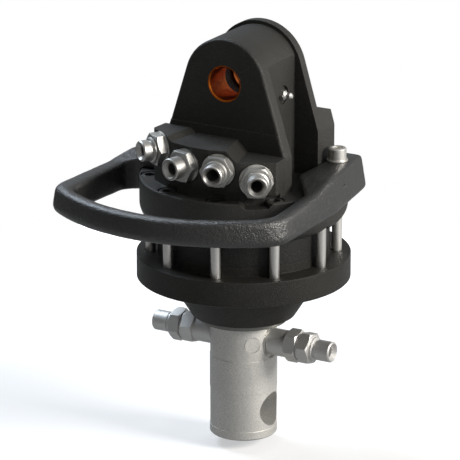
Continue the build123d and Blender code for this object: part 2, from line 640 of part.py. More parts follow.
def pin_bush(front):
    """Bronze bush in one end of the lug bore, its mouth chamfered."""
    lead = 1.0
    bush = turned([
        (PIN_BORE_RADIUS + lead, 0), (PIN_BUSH_RADIUS, 0), (PIN_BUSH_RADIUS, PIN_BUSH_LENGTH),
        (PIN_BORE_RADIUS, PIN_BUSH_LENGTH), (PIN_BORE_RADIUS, lead),
    ])
    y, direction = (-LUG_FRONT, 1) if front else (LUG_BACK, -1)
    return Plane(origin=(0, y, BORE_HEIGHT), x_dir=(1, 0, 0), z_dir=(0, direction, 0)).location * bush


def mouth_cone(end):
    """Profile points of the sixty degree seat in the mouth of a stub that ends here."""
    depth = ADAPTER_CONE_WIDTH / tan(radians(30))
    return [(ADAPTER_BORE_RADIUS + ADAPTER_CONE_WIDTH, end), (ADAPTER_BORE_RADIUS, end - depth)]


def port_adapter(frame, plain_stub):
    """Upper hose adapter: threaded spigot, seal land, hexagon and the male stub for the hose."""
    seat = PORT_SEAL_THICKNESS
    base = seat + UPPER_HEX_LENGTH
    end = base + UPPER_STUB_LENGTH
    spigot = [
        (ADAPTER_BORE_RADIUS, -PORT_SPIGOT_LENGTH), (THREAD_RADIUS - 1, -PORT_SPIGOT_LENGTH),
        (THREAD_RADIUS, -PORT_SPIGOT_LENGTH + 1),
    ]
    grooved = [
        (THREAD_RADIUS, base), (THREAD_RADIUS + 1.9, base + 0.4), (THREAD_RADIUS + 1.9, base + 2.0),
        (THREAD_RADIUS + 0.6, base + 3.0), (THREAD_RADIUS - 1.2, base + 3.3),
        (THREAD_RADIUS - 1.2, base + 4.6), (THREAD_RADIUS, base + 5.2),
        (THREAD_RADIUS, end - 1.2), (THREAD_RADIUS - 1.0, end),
    ]
    sleeve = THREAD_RADIUS + 0.5
    plain = [(THREAD_RADIUS, base), (sleeve, base), (sleeve, end - 0.8), (sleeve - 0.8, end)]
    mouth = mouth_cone(end)
    stub = plain if plain_stub else grooved
    tube = turned(spigot + stub + mouth)
    nut = Pos(0, 0, seat) * hexagon(HEX_ACROSS_FLATS, UPPER_HEX_LENGTH)
    nut -= rod(ADAPTER_BORE_RADIUS, 0, end)
    return frame * (tube + nut)


def port_seal(frame):
    """Sealing washer between an adapter and the spotface."""
    return frame * ring(PORT_SEAL_RADIUS, THREAD_RADIUS + SEATED, 0, PORT_SEAL_THICKNESS)


def side_frame(side):
    """Frame of a side port on the shaft: local Z points outwards along +X or -X."""
    return Plane(origin=(0, 0, SIDE_PORT_HEIGHT), x_dir=(0, side, 0), z_dir=(side, 0, 0)).location


def side_adapter(side):
    """Long adapter screwed into the shaft's side port."""
    seat = SIDE_SEAT_DISTANCE + SIDE_SEAL_THICKNESS
    neck = SIDE_HEX_START
    end = neck + SIDE_HEX_LENGTH
    socket = NIPPLE_SPIGOT_RADIUS + SEATED
    tube = turned([
        (ADAPTER_BORE_RADIUS, SIDE_SEAT_DISTANCE - PORT_SPIGOT_LENGTH),
        (THREAD_RADIUS, SIDE_SEAT_DISTANCE - PORT_SPIGOT_LENGTH),
        (THREAD_RADIUS, seat), (SIDE_BODY_RADIUS - 0.8, seat), (SIDE_BODY_RADIUS, seat + 0.8),
        (SIDE_BODY_RADIUS, neck), (SIDE_BODY_RADIUS, end), (socket, end),
        (socket, end - NIPPLE_SPIGOT_LENGTH - SUNK), (ADAPTER_BORE_RADIUS, end - NIPPLE_SPIGOT_LENGTH - SUNK),
    ])
    nut = Pos(0, 0, neck) * Rot(0, 0, SIDE_HEX_TURN) * hexagon(HEX_ACROSS_FLATS, SIDE_HEX_LENGTH)
    nut -= rod(SIDE_BODY_RADIUS - 1, neck - 1, end + 1)
    return side_frame(side) * (tube + nut)


def side_nipple(side):
    """Nipple at the end of the long adapter, with the male stub for the grapple's hose."""
    start = SIDE_HEX_START + SIDE_HEX_LENGTH
    base = start + NIPPLE_GAP
    face = base + NIPPLE_HEX_LENGTH
    end = face + NIPPLE_STUB_LENGTH
    tube = turned([
        (ADAPTER_BORE_RADIUS, start - NIPPLE_SPIGOT_LENGTH),
        (NIPPLE_SPIGOT_RADIUS, start - NIPPLE_SPIGOT_LENGTH),
        (NIPPLE_SPIGOT_RADIUS, start), (SIDE_BODY_RADIUS - 0.6, start), (SIDE_BODY_RADIUS, start + 0.6),
        (SIDE_BODY_RADIUS, base - 0.8), (SIDE_BODY_RADIUS - 0.8, base), (SIDE_BODY_RADIUS - 0.8, face),
        (THREAD_RADIUS + 1.6, face + 0.3), (THREAD_RADIUS + 1.6, face + 2.8),
        (THREAD_RADIUS - 1.2, face + 3.6), (THREAD_RADIUS - 1.2, face + 5.4),
        (THREAD_RADIUS, face + 6.0), (THREAD_RADIUS, end - 1.2),
        (THREAD_RADIUS - 1.0, end), *mouth_cone(end),
    ])
    nut = Pos(0, 0, base) * Rot(0, 0, -SIDE_HEX_TURN) * hexagon(HEX_ACROSS_FLATS, NIPPLE_HEX_LENGTH)
    nut -= rod(SIDE_BODY_RADIUS - 2, base - 1, face + 1)
    return side_frame(side) * (tube + nut)


def side_seal(side):
    """Bonded seal between the shaft's spotface and the long adapter."""
    inner = THREAD_RADIUS + SEATED
    top = SIDE_SEAT_DISTANCE + SIDE_SEAL_THICKNESS
    return side_frame(side) * ring(SIDE_SEAL_RADIUS, inner, SIDE_SEAT_DISTANCE, top)


def rotor_shaft():
    """Stepped shaft: pin eye, side ports, journals, thrust flange, keyed hub and swivel end.

    The band round the pin hole is relieved, so that a burr there can't jam in the grapple's socket.
    """
    end = SHAFT_END_CHAMFER
    journal = BUSH_BOTTOM - 0.5
    hub = STATOR_BOTTOM + STATOR_HEIGHT
    shaft = turned([
        (0, 0), (SHAFT_RADIUS - end, 0), (SHAFT_RADIUS, end), (SHAFT_RADIUS, SPIGOT_TOP),
        (SEAL_JOURNAL_RADIUS, SPIGOT_TOP), (SEAL_JOURNAL_RADIUS, journal), (JOURNAL_RADIUS, journal),
        (JOURNAL_RADIUS, THRUST_FLANGE_BOTTOM), (THRUST_FLANGE_RADIUS, THRUST_FLANGE_BOTTOM),
        (THRUST_FLANGE_RADIUS, THRUST_FLANGE_TOP), (HUB_RADIUS, THRUST_FLANGE_TOP),
        (HUB_RADIUS, hub - FACE_GAP), (SWIVEL_RADIUS, hub - FACE_GAP), (SWIVEL_RADIUS, SHAFT_TOP - 1),
        (SWIVEL_RADIUS - 1, SHAFT_TOP), (0, SHAFT_TOP),
    ])
    shaft -= Pos(0, 0, PIN_HOLE_HEIGHT) * Rot(0, 90, 0) * Cylinder(PIN_HOLE_RADIUS, 3 * SHAFT_RADIUS)
    half_band = PIN_HOLE_RADIUS + PIN_RELIEF_MARGIN
    band = ring(SHAFT_RADIUS + 1, SHAFT_RADIUS - PIN_RELIEF_DEPTH, -half_band, half_band)
    shaft -= Pos(0, 0, PIN_HOLE_HEIGHT) * band
    for side in (-1, 1):
        cut = rod(SIDE_SPOTFACE_RADIUS, SIDE_SEAT_DISTANCE, 2 * SHAFT_RADIUS)
        cut += rod(PORT_HOLE_RADIUS, SIDE_SEAT_DISTANCE - PORT_HOLE_DEPTH, 2 * SHAFT_RADIUS)
        cut += rod(PORT_DRILL_RADIUS, PORT_DRILL_RADIUS * 1.2, 2 * SHAFT_RADIUS)
        shaft -= side_frame(side) * cut
    frame = facing(0, PLUG_ANGLE, PLUG_HEIGHT)
    shaft -= frame * rod(PLUG_RADIUS + SUNK, PLUG_SEAT_DISTANCE, 2 * SHAFT_RADIUS)
    spigot = PLUG_SPIGOT_RADIUS + THREAD_CLEARANCE
    shaft -= frame * rod(spigot, PLUG_SEAT_DISTANCE - PLUG_SPIGOT_LENGTH - 1, PLUG_SEAT_DISTANCE + 1)
    for side in (-1, 1):
        shaft -= Pos(side * HUB_RADIUS, 0, STATOR_BOTTOM) * Box(
            2 * (KEY_DEPTH_IN_SHAFT + SEATED), KEY_WIDTH + 2 * SEATED, STATOR_HEIGHT,
            align=(Align.CENTER, Align.CENTER, Align.MIN),
        )
    return shaft


def drilling_plug():
    """Flush screw plug in the mouth of the shaft's cross drilling."""
    plug = rod(PLUG_RADIUS, PLUG_SEAT_DISTANCE, PLUG_SEAT_DISTANCE + PLUG_THICKNESS)
    plug += rod(PLUG_SPIGOT_RADIUS, PLUG_SEAT_DISTANCE - PLUG_SPIGOT_LENGTH, PLUG_SEAT_DISTANCE + 1)
    return facing(0, PLUG_ANGLE, PLUG_HEIGHT) * plug


def gland_ring():
    """Steel gland round the shaft that carries the wiper and the lip seal."""
    body = ring(GLAND_RADIUS, SEAL_JOURNAL_RADIUS + GLAND_SHAFT_GAP, GLAND_BOTTOM, GLAND_TOP)
    for radius, start, height in (
        (WIPER_RADIUS, WIPER_START, WIPER_HEIGHT), (LIP_SEAL_RADIUS, LIP_SEAL_START, LIP_SEAL_HEIGHT),
    ):
        low = GLAND_BOTTOM + start
        body -= ring(radius + SEATED, SEAL_JOURNAL_RADIUS, low - SEATED, low + height + SEATED)
    return body


def lip_ring(outer, bottom, height, lip_up):
    """Seal ring with a sloping lip that runs on the shaft."""
    inner = SEAL_JOURNAL_RADIUS + RUNNING
    low, high = (LIP_RELIEF, 0) if lip_up else (0, LIP_RELIEF)
    top = bottom + height
    return turned([(inner + low, bottom), (outer, bottom), (outer, top), (inner + high, top)])


def lower_cover():
    """Lower cover: cone nose, bolt flange, spigot and the seats for gland, bush and side plate."""
    chamfer_size = FLANGE_CHAMFER
    cover = turned([
        (GLAND_RADIUS + SEATED, COVER_BOTTOM), (COVER_NOSE_RADIUS, COVER_BOTTOM),
        (CONE_TOP_RADIUS, FLANGE_BOTTOM),
        (FLANGE_RADIUS - chamfer_size, FLANGE_BOTTOM), (FLANGE_RADIUS, FLANGE_BOTTOM + chamfer_size),
        (FLANGE_RADIUS, FLANGE_TOP - chamfer_size), (FLANGE_RADIUS - chamfer_size, FLANGE_TOP),
        (STATOR_RADIUS, FLANGE_TOP), (STATOR_RADIUS, STATOR_BOTTOM),
        (SIDE_PLATE_RADIUS + SEATED, STATOR_BOTTOM), (SIDE_PLATE_RADIUS + SEATED, SIDE_PLATE_BOTTOM),
        (COVER_CAVITY_RADIUS, SIDE_PLATE_BOTTOM), (COVER_CAVITY_RADIUS, CAVITY_FLOOR),
        (BUSH_RADIUS + SEATED, CAVITY_FLOOR), (BUSH_RADIUS + SEATED, BUSH_BOTTOM),
        (COVER_THROAT_RADIUS, BUSH_BOTTOM), (COVER_THROAT_RADIUS, GLAND_TOP),
        (GLAND_RADIUS + SEATED, GLAND_TOP),
    ])
    screw_hole = rod(SCREW_THREAD_RADIUS + RUNNING, FLANGE_TOP - SCREW_THREAD_LENGTH, FLANGE_TOP + 1)
    for angle in screw_angles():
        x, y = around(SCREW_TRACK_RADIUS, angle)
        cover -= Pos(x, y, 0) * screw_hole
    dowel_hole = rod(DOWEL_RADIUS + SEATED, STATOR_BOTTOM - DOWEL_HALF_LENGTH - SUNK, STATOR_BOTTOM + 1)
    for x, y in dowel_places():
        cover -= Pos(x, y, 0) * dowel_hole
    return cover


def side_plate():
    """Wear plate that closes the vane chamber from below, with its face seal groove."""
    plate = ring(SIDE_PLATE_RADIUS, HUB_RADIUS + 2 * RUNNING, SIDE_PLATE_BOTTOM, STATOR_BOTTOM)
    return plate - o_ring_groove(STATOR_BOTTOM, -1)


def stator_ring():
    """Cam ring: round outside, two-lobed inside."""
    blank = rod(STATOR_RADIUS, STATOR_BOTTOM, DISC_BOTTOM)
    cam_plan = Ellipse(CAM_LONG_RADIUS, CAM_SHORT_RADIUS)
    cam = extrude(Pos(0, 0, STATOR_BOTTOM - 1) * cam_plan, STATOR_HEIGHT + 2)
    ring_body = blank - cam
    for x, y in dowel_places():
        ring_body -= Pos(x, y, 0) * rod(DOWEL_RADIUS + SEATED, STATOR_BOTTOM - 1, DISC_BOTTOM + 1)
    return ring_body


def dowels():
    """Two dowels through the stator ring into the housing and the cover."""
    return [
        Pos(x, y, 0) * rod(DOWEL_RADIUS, STATOR_BOTTOM - DOWEL_HALF_LENGTH, DISC_BOTTOM + DOWEL_HALF_LENGTH)
        for x, y in dowel_places()
    ]


def vane_angles():
    """Directions of the vanes from +X, none of them on the short axis of the cam."""
    step = 360 / VANE_COUNT
    return [step / 2 + index * step for index in range(VANE_COUNT)]


def vane_rotor():
    """Slotted rotor keyed to the shaft's hub."""
    bottom = STATOR_BOTTOM + FACE_GAP
    top = DISC_BOTTOM - FACE_GAP
    body = ring(ROTOR_RADIUS, HUB_RADIUS + SEATED, bottom, top)
    slot_length = ROTOR_RADIUS + 2 - SLOT_FLOOR_RADIUS
    for angle in vane_angles():
        body -= Rot(0, 0, angle) * Pos(SLOT_FLOOR_RADIUS, 0, STATOR_BOTTOM) * Box(
            slot_length, VANE_THICKNESS + 2 * RUNNING, STATOR_HEIGHT,
            align=(Align.MIN, Align.CENTER, Align.MIN),
        )
    for side in (-1, 1):
        body -= Pos(side * (HUB_RADIUS - KEY_DEPTH_IN_SHAFT + KEY_HEIGHT / 2), 0, STATOR_BOTTOM) * Box(
            KEY_HEIGHT + 2 * SEATED, KEY_WIDTH + 2 * SEATED, STATOR_HEIGHT,
            align=(Align.CENTER, Align.CENTER, Align.MIN),
        )
    return body


def vane(angle):
    """One vane at rest, its tip level with the rotor's rim."""
    height = STATOR_HEIGHT - 3 * FACE_GAP
    plate = Box(VANE_LENGTH, VANE_THICKNESS, height, align=(Align.MIN, Align.CENTER, Align.MIN))
    return Rot(0, 0, angle) * Pos(VANE_FOOT_RADIUS, 0, STATOR_BOTTOM + 1.5 * FACE_GAP) * plate


def rotor_keys():
    """Two parallel keys between hub and rotor."""
    centre = HUB_RADIUS - KEY_DEPTH_IN_SHAFT + KEY_HEIGHT / 2
    return [
        Pos(side * centre, 0, STATOR_BOTTOM + FACE_GAP) * Box(
            KEY_HEIGHT, KEY_WIDTH, STATOR_HEIGHT - 4 * FACE_GAP,
            align=(Align.CENTER, Align.CENTER, Align.MIN),
        )
        for side in (-1, 1)
    ]


def hex_socket(top):
    """Cutter for a hexagon socket whose mouth is at this height."""
    corner = SCREW_SOCKET_ACROSS / 2 / cos(radians(30))
    return Pos(0, 0, top - SCREW_SOCKET_DEPTH) * extrude(RegularPolygon(corner, 6), SCREW_SOCKET_DEPTH + 1)


def clamping_screw(seat, angle):
    """Waisted socket screw that clamps housing, stator ring and cover together."""
    top = seat + SCREW_HEAD_HEIGHT
    tip = FLANGE_TOP - SCREW_THREAD_LENGTH + 1
    thread = FLANGE_TOP - 0.5
    screw = turned([
        (0, tip), (SCREW_THREAD_RADIUS - 1, tip), (SCREW_THREAD_RADIUS, tip + 1),
        (SCREW_THREAD_RADIUS, thread - 0.9), (SCREW_WAIST_RADIUS, thread),
        (SCREW_WAIST_RADIUS, SPOTFACE_HEIGHT + 2), (SCREW_THREAD_RADIUS, SPOTFACE_HEIGHT + 3),
        (SCREW_THREAD_RADIUS, seat), (SCREW_HEAD_RADIUS, seat), (SCREW_HEAD_RADIUS, top - 1),
        (SCREW_HEAD_RADIUS - 1, top), (0, top),
    ])
    x, y = around(SCREW_TRACK_RADIUS, angle)
    return Pos(x, y, 0) * (screw - hex_socket(top))


def guard_washer(angle):
    """Plain washer under a guard screw's head."""
    x, y = around(SCREW_TRACK_RADIUS, angle)
    washer = ring(
        GUARD_WASHER_RADIUS, SCREW_THREAD_RADIUS + BOLT_CLEARANCE,
        GUARD_PAD_TOP, GUARD_PAD_TOP + GUARD_WASHER_THICKNESS,
    )
    return Pos(x, y, 0) * washer


def rounded_bow(sides, bow_radius, right_radius, left_radius):
    """Plan closed by the round bow at the front, its two front corners rounded."""
    cx, cy = GUARD_BOW_CENTRE
    plan = make_face(Polyline(*sides, close=True)) & (Pos(cx, cy) * Circle(bow_radius))

    def on_bow(shape):
        return shape.vertices().filter_by(lambda v: abs(hypot(v.X - cx, v.Y - cy) - bow_radius) < 0.01)

    plan = fillet(on_bow(plan).sort_by(Axis.X)[-1], right_radius)
    return fillet(on_bow(plan).sort_by(Axis.X)[0], left_radius)


def edges_over(body, plan, draft_angle, low, high):
    """Level edges of the body that follow the plan's outline between two heights, clear of the lug."""
    outline = plan.faces()[0].outer_wire()

    def follows(edge):
        middle = edge @ 0.5
        in_lug = abs(middle.X) < RIB_HALF_WIDTH and middle.Y > WINDOW_LEFT_SIDE[-1][1]
        inset = (middle.Z - GUARD_BOTTOM) * tan(radians(draft_angle))
        on_outline = abs(Vertex(middle.X, middle.Y, 0).distance_to(outline) - inset) < 0.2
        level = abs((edge % 0.5).Z) < 0.7
        return low < middle.Z < high and on_outline and level and not in_lug

    return body.edges().filter_by(follows)


def past_bow(near, far):
    """Point on the line through two side points that lies in front of the whole bow."""
    front = GUARD_BOW_CENTRE[1] - GUARD_BOW_RADIUS - GUARD_BAR_WIDTH
    share = (front - near[1]) / (far[1] - near[1])
    return near[0] + share * (far[0] - near[0]), front


def guard_outside():
    """Outside plan of the guard, its sides blended and the corners of its two pads rounded."""
    right_front = past_bow(*GUARD_RIGHT_SIDE[-2:])
    left_front = past_bow(*reversed(GUARD_LEFT_SIDE[:2]))
    sides = GUARD_RIGHT_SIDE[:-1] + [right_front, left_front] + GUARD_LEFT_SIDE[1:]
    plan = rounded_bow(sides, GUARD_BOW_RADIUS, GUARD_RIGHT_CORNER_RADIUS, GUARD_LEFT_CORNER_RADIUS)
    gentle = [GUARD_RIGHT_SIDE[0], GUARD_RIGHT_SIDE[2], GUARD_LEFT_SIDE[1], GUARD_LEFT_SIDE[3]]
    plan = rounded_at(plan, gentle, GUARD_SIDE_BLEND_RADIUS)
    plan = rounded_at(plan, [GUARD_RIGHT_SIDE[1], GUARD_LEFT_SIDE[2]], GUARD_PAD_CORNER_RADIUS)
    return make_face(plan.edges())


def guard_window():
    """Inside plan of the guard: the space that the hoses and the lug stand in."""
    right_front = past_bow(*WINDOW_RIGHT_SIDE[-2:])
    left_front = past_bow(*reversed(WINDOW_LEFT_SIDE[:2]))
    sides = WINDOW_RIGHT_SIDE[:-1] + [right_front, left_front] + WINDOW_LEFT_SIDE[1:]
    radius = GUARD_BOW_RADIUS - GUARD_BAR_WIDTH
    plan = rounded_bow(sides, radius, GUARD_INNER_CORNER_RADIUS, GUARD_INNER_CORNER_RADIUS)
    return rounded_at(plan, [WINDOW_RIGHT_SIDE[1], *WINDOW_LEFT_SIDE[1:3]], WINDOW_BLEND_RADIUS)


def above_guard():
    """Space over the guard: level over its pads, then down the arms to the low bow."""
    rear = GUARD_RIGHT_SIDE[0][1] + GUARD_BAR_WIDTH
    bow = GUARD_BOW_CENTRE[1] - GUARD_BOW_RADIUS
    front = bow - GUARD_BAR_WIDTH
    fall = (GUARD_ARM_TOP - GUARD_BOW_TOP) / (GUARD_KINK_FRONT - bow)
    knees = [(GUARD_KINK_REAR, GUARD_PAD_TOP), (GUARD_KINK_FRONT, GUARD_ARM_TOP)]
    side = make_face(Polyline(
        (rear, GUARD_PAD_TOP), *knees, (front, GUARD_BOW_TOP - fall * GUARD_BAR_WIDTH),
        (front, 2 * GUARD_PAD_TOP), (rear, 2 * GUARD_PAD_TOP), close=True,
    ))
    side = rounded_at(side, knees, GUARD_SLOPE_BLEND_RADIUS)
    sideways = Plane(origin=(-2 * GUARD_BOW_RADIUS, 0, 0), x_dir=(0, 1, 0), z_dir=(1, 0, 0)).location
    return extrude(sideways * side, 4 * GUARD_BOW_RADIUS)


def hose_guard():
    """Cast guard: two pads on the disc joined by a bowed bar in front of the hose ports."""
    outside = guard_outside()
    window = guard_window()
    height = GUARD_PAD_TOP - GUARD_BOTTOM
    draft = GUARD_DRAFT_ANGLE
    body = extrude(Pos(0, 0, GUARD_BOTTOM) * outside, height, taper=draft) - above_guard()
    above = (GUARD_BOW_TOP - 1, GUARD_PAD_TOP + 1)
    below = (GUARD_BOTTOM - 1, GUARD_BOTTOM + 1)
    body = fillet(edges_over(body, outside, draft, *above), GUARD_TOP_EDGE_RADIUS)
    body = fillet(edges_over(body, outside, 0, *below), GUARD_BOTTOM_EDGE_RADIUS)
    body -= extrude(Pos(0, 0, GUARD_BOTTOM - 1) * window, height + 2)
    body = fillet(edges_over(body, window, 0, *above), GUARD_INNER_EDGE_RADIUS)
    body = fillet(edges_over(body, window, 0, *below), GUARD_INNER_BOTTOM_RADIUS)
    lug = Box(
        2 * (RIB_HALF_WIDTH + GUARD_LUG_GAP), 2 * DISC_RADIUS, 4 * DISC_TOP,
        align=(Align.CENTER, Align.MIN, Align.CENTER),
    )
    body -= Pos(0, WINDOW_LEFT_SIDE[-1][1], 0) * lug
    block = Box(
        2 * (BLOCK_RIGHT_CORNER + GUARD_BLOCK_GAP), INNER_FACET_DISTANCE, 4 * DISC_TOP,
        align=(Align.CENTER, Align.MAX, Align.CENTER),
    )
    body -= Pos(0, GUARD_BLOCK_GAP - LUG_FRONT, 0) * block
    body -= rod(DISC_RADIUS + GUARD_DISC_GAP, 0, DISC_TOP)
    for angle in GUARD_ANGLES:
        x, y = around(SCREW_TRACK_RADIUS, angle)
        body -= Pos(x, y, 0) * rod(SCREW_THREAD_RADIUS + BOLT_CLEARANCE, DISC_TOP - 1, GUARD_PAD_TOP + 1)
    return body


def upper_bush():
    """Upper radial bush of the shaft."""
    return ring(UPPER_BUSH_RADIUS, SWIVEL_RADIUS + RUNNING, UPPER_BUSH_BOTTOM, UPPER_BUSH_TOP)


def thrust_washer(bottom, shaft_radius):
    """Thrust washer beside the shaft's flange."""
    inner = shaft_radius + THRUST_WASHER_GAP
    return ring(THRUST_FLANGE_RADIUS, inner, bottom, bottom + THRUST_WASHER_THICKNESS)


def swivel_seals():
    """Seal rings between the rotating swivel end and the housing bore."""
    outer = SWIVEL_RADIUS + SWIVEL_SEAL_DEPTH
    return [
        ring(outer, SWIVEL_RADIUS + RUNNING, bottom, bottom + SWIVEL_SEAL_HEIGHT)
        for bottom in swivel_seal_heights()
    ]


upper_ports = port_frames()
save(upper_housing(), "upper_housing")
save(pin_bush(True), "pin_bush_front")
save(pin_bush(False), "pin_bush_rear")
save(grease_nipple(), "grease_nipple")
for number, place in enumerate(upper_ports, start=1):
    save(port_adapter(place, number == PLAIN_STUB_PORT), f"port_adapter_{number}")
save(one_node([port_seal(place) for place in upper_ports]), "port_seals")
save(hose_guard(), "hose_guard")
guard_seat = GUARD_PAD_TOP + GUARD_WASHER_THICKNESS
save(one_node([clamping_screw(guard_seat, angle) for angle in GUARD_ANGLES]), "guard_screws")
save(one_node([guard_washer(angle) for angle in GUARD_ANGLES]), "guard_washers")
save(one_node([clamping_screw(HEAD_SEAT, angle) for angle in PLAIN_ANGLES]), "housing_screws")
save(upper_bush(), "upper_bush")
save(one_node(swivel_seals()), "swivel_seals")

save(stator_ring(), "stator_ring")
save(one_node(dowels()), "stator_dowels")
save(one_node([o_ring(DISC_BOTTOM, 1), o_ring(STATOR_BOTTOM, -1)]), "stator_o_rings")
save(side_plate(), "lower_side_plate")
save(lower_cover(), "lower_cover")
save(ring(BUSH_RADIUS, JOURNAL_RADIUS + RUNNING, BUSH_BOTTOM, CAVITY_FLOOR), "lower_bush")
save(thrust_washer(CAVITY_FLOOR, JOURNAL_RADIUS), "thrust_washer_lower")
save(thrust_washer(SIDE_PLATE_BOTTOM - THRUST_WASHER_THICKNESS, HUB_RADIUS), "thrust_washer_upper")
save(gland_ring(), "gland_ring")
save(lip_ring(WIPER_RADIUS, GLAND_BOTTOM + WIPER_START, WIPER_HEIGHT, False), "wiper_ring")
save(lip_ring(LIP_SEAL_RADIUS, GLAND_BOTTOM + LIP_SEAL_START, LIP_SEAL_HEIGHT, True), "shaft_seal")

save(rotor_shaft(), "rotor_shaft")
save(vane_rotor(), "vane_rotor")
save(one_node(rotor_keys()), "rotor_keys")
save(drilling_plug(), "cross_drilling_plug")
for side_name, side in (("left", -1), ("right", 1)):
    save(side_adapter(side), f"lower_adapter_{side_name}")
    save(side_nipple(side), f"lower_nipple_{side_name}")
save(one_node([side_seal(-1), side_seal(1)]), "lower_seals")
for number, angle in enumerate(vane_angles(), start=1):
    save(vane(angle), f"vane_{number}")
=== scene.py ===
"""Hydraulic rotator on a pale studio floor: cast and turned finishes, cast guard, light and camera."""

import logging
from dataclasses import dataclass, field
from enum import Enum
from math import cos, pi, radians, sin

import bmesh
import bpy
from mathutils import Matrix, Vector


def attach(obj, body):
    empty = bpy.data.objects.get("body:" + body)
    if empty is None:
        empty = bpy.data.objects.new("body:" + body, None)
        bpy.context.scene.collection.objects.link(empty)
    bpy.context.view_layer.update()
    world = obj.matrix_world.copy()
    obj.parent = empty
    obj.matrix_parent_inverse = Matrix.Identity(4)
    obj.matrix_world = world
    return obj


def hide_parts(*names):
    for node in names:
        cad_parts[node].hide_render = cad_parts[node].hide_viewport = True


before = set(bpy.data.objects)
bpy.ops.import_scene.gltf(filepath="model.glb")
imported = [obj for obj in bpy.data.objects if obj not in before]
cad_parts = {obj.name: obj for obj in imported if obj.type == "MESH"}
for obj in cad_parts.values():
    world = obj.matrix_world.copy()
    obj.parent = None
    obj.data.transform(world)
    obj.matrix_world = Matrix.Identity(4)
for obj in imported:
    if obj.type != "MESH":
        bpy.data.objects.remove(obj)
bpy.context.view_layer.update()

LOG = logging.getLogger("rotator")

Rgb = tuple[float, float, float]
Span = tuple[float, float]
Socket = bpy.types.NodeSocket

EDGE_SAMPLES = 6
WHITE = (1.0, 1.0, 1.0)


class Skin(Enum):
    """How coarse a cast surface is."""

    FINE = "fine"
    COARSE = "coarse"


class Lay(Enum):
    """Which way the tool marks of a machined surface run."""

    ROUND_X = "round_x"
    ROUND_Z = "round_z"
    GROUND = "ground"


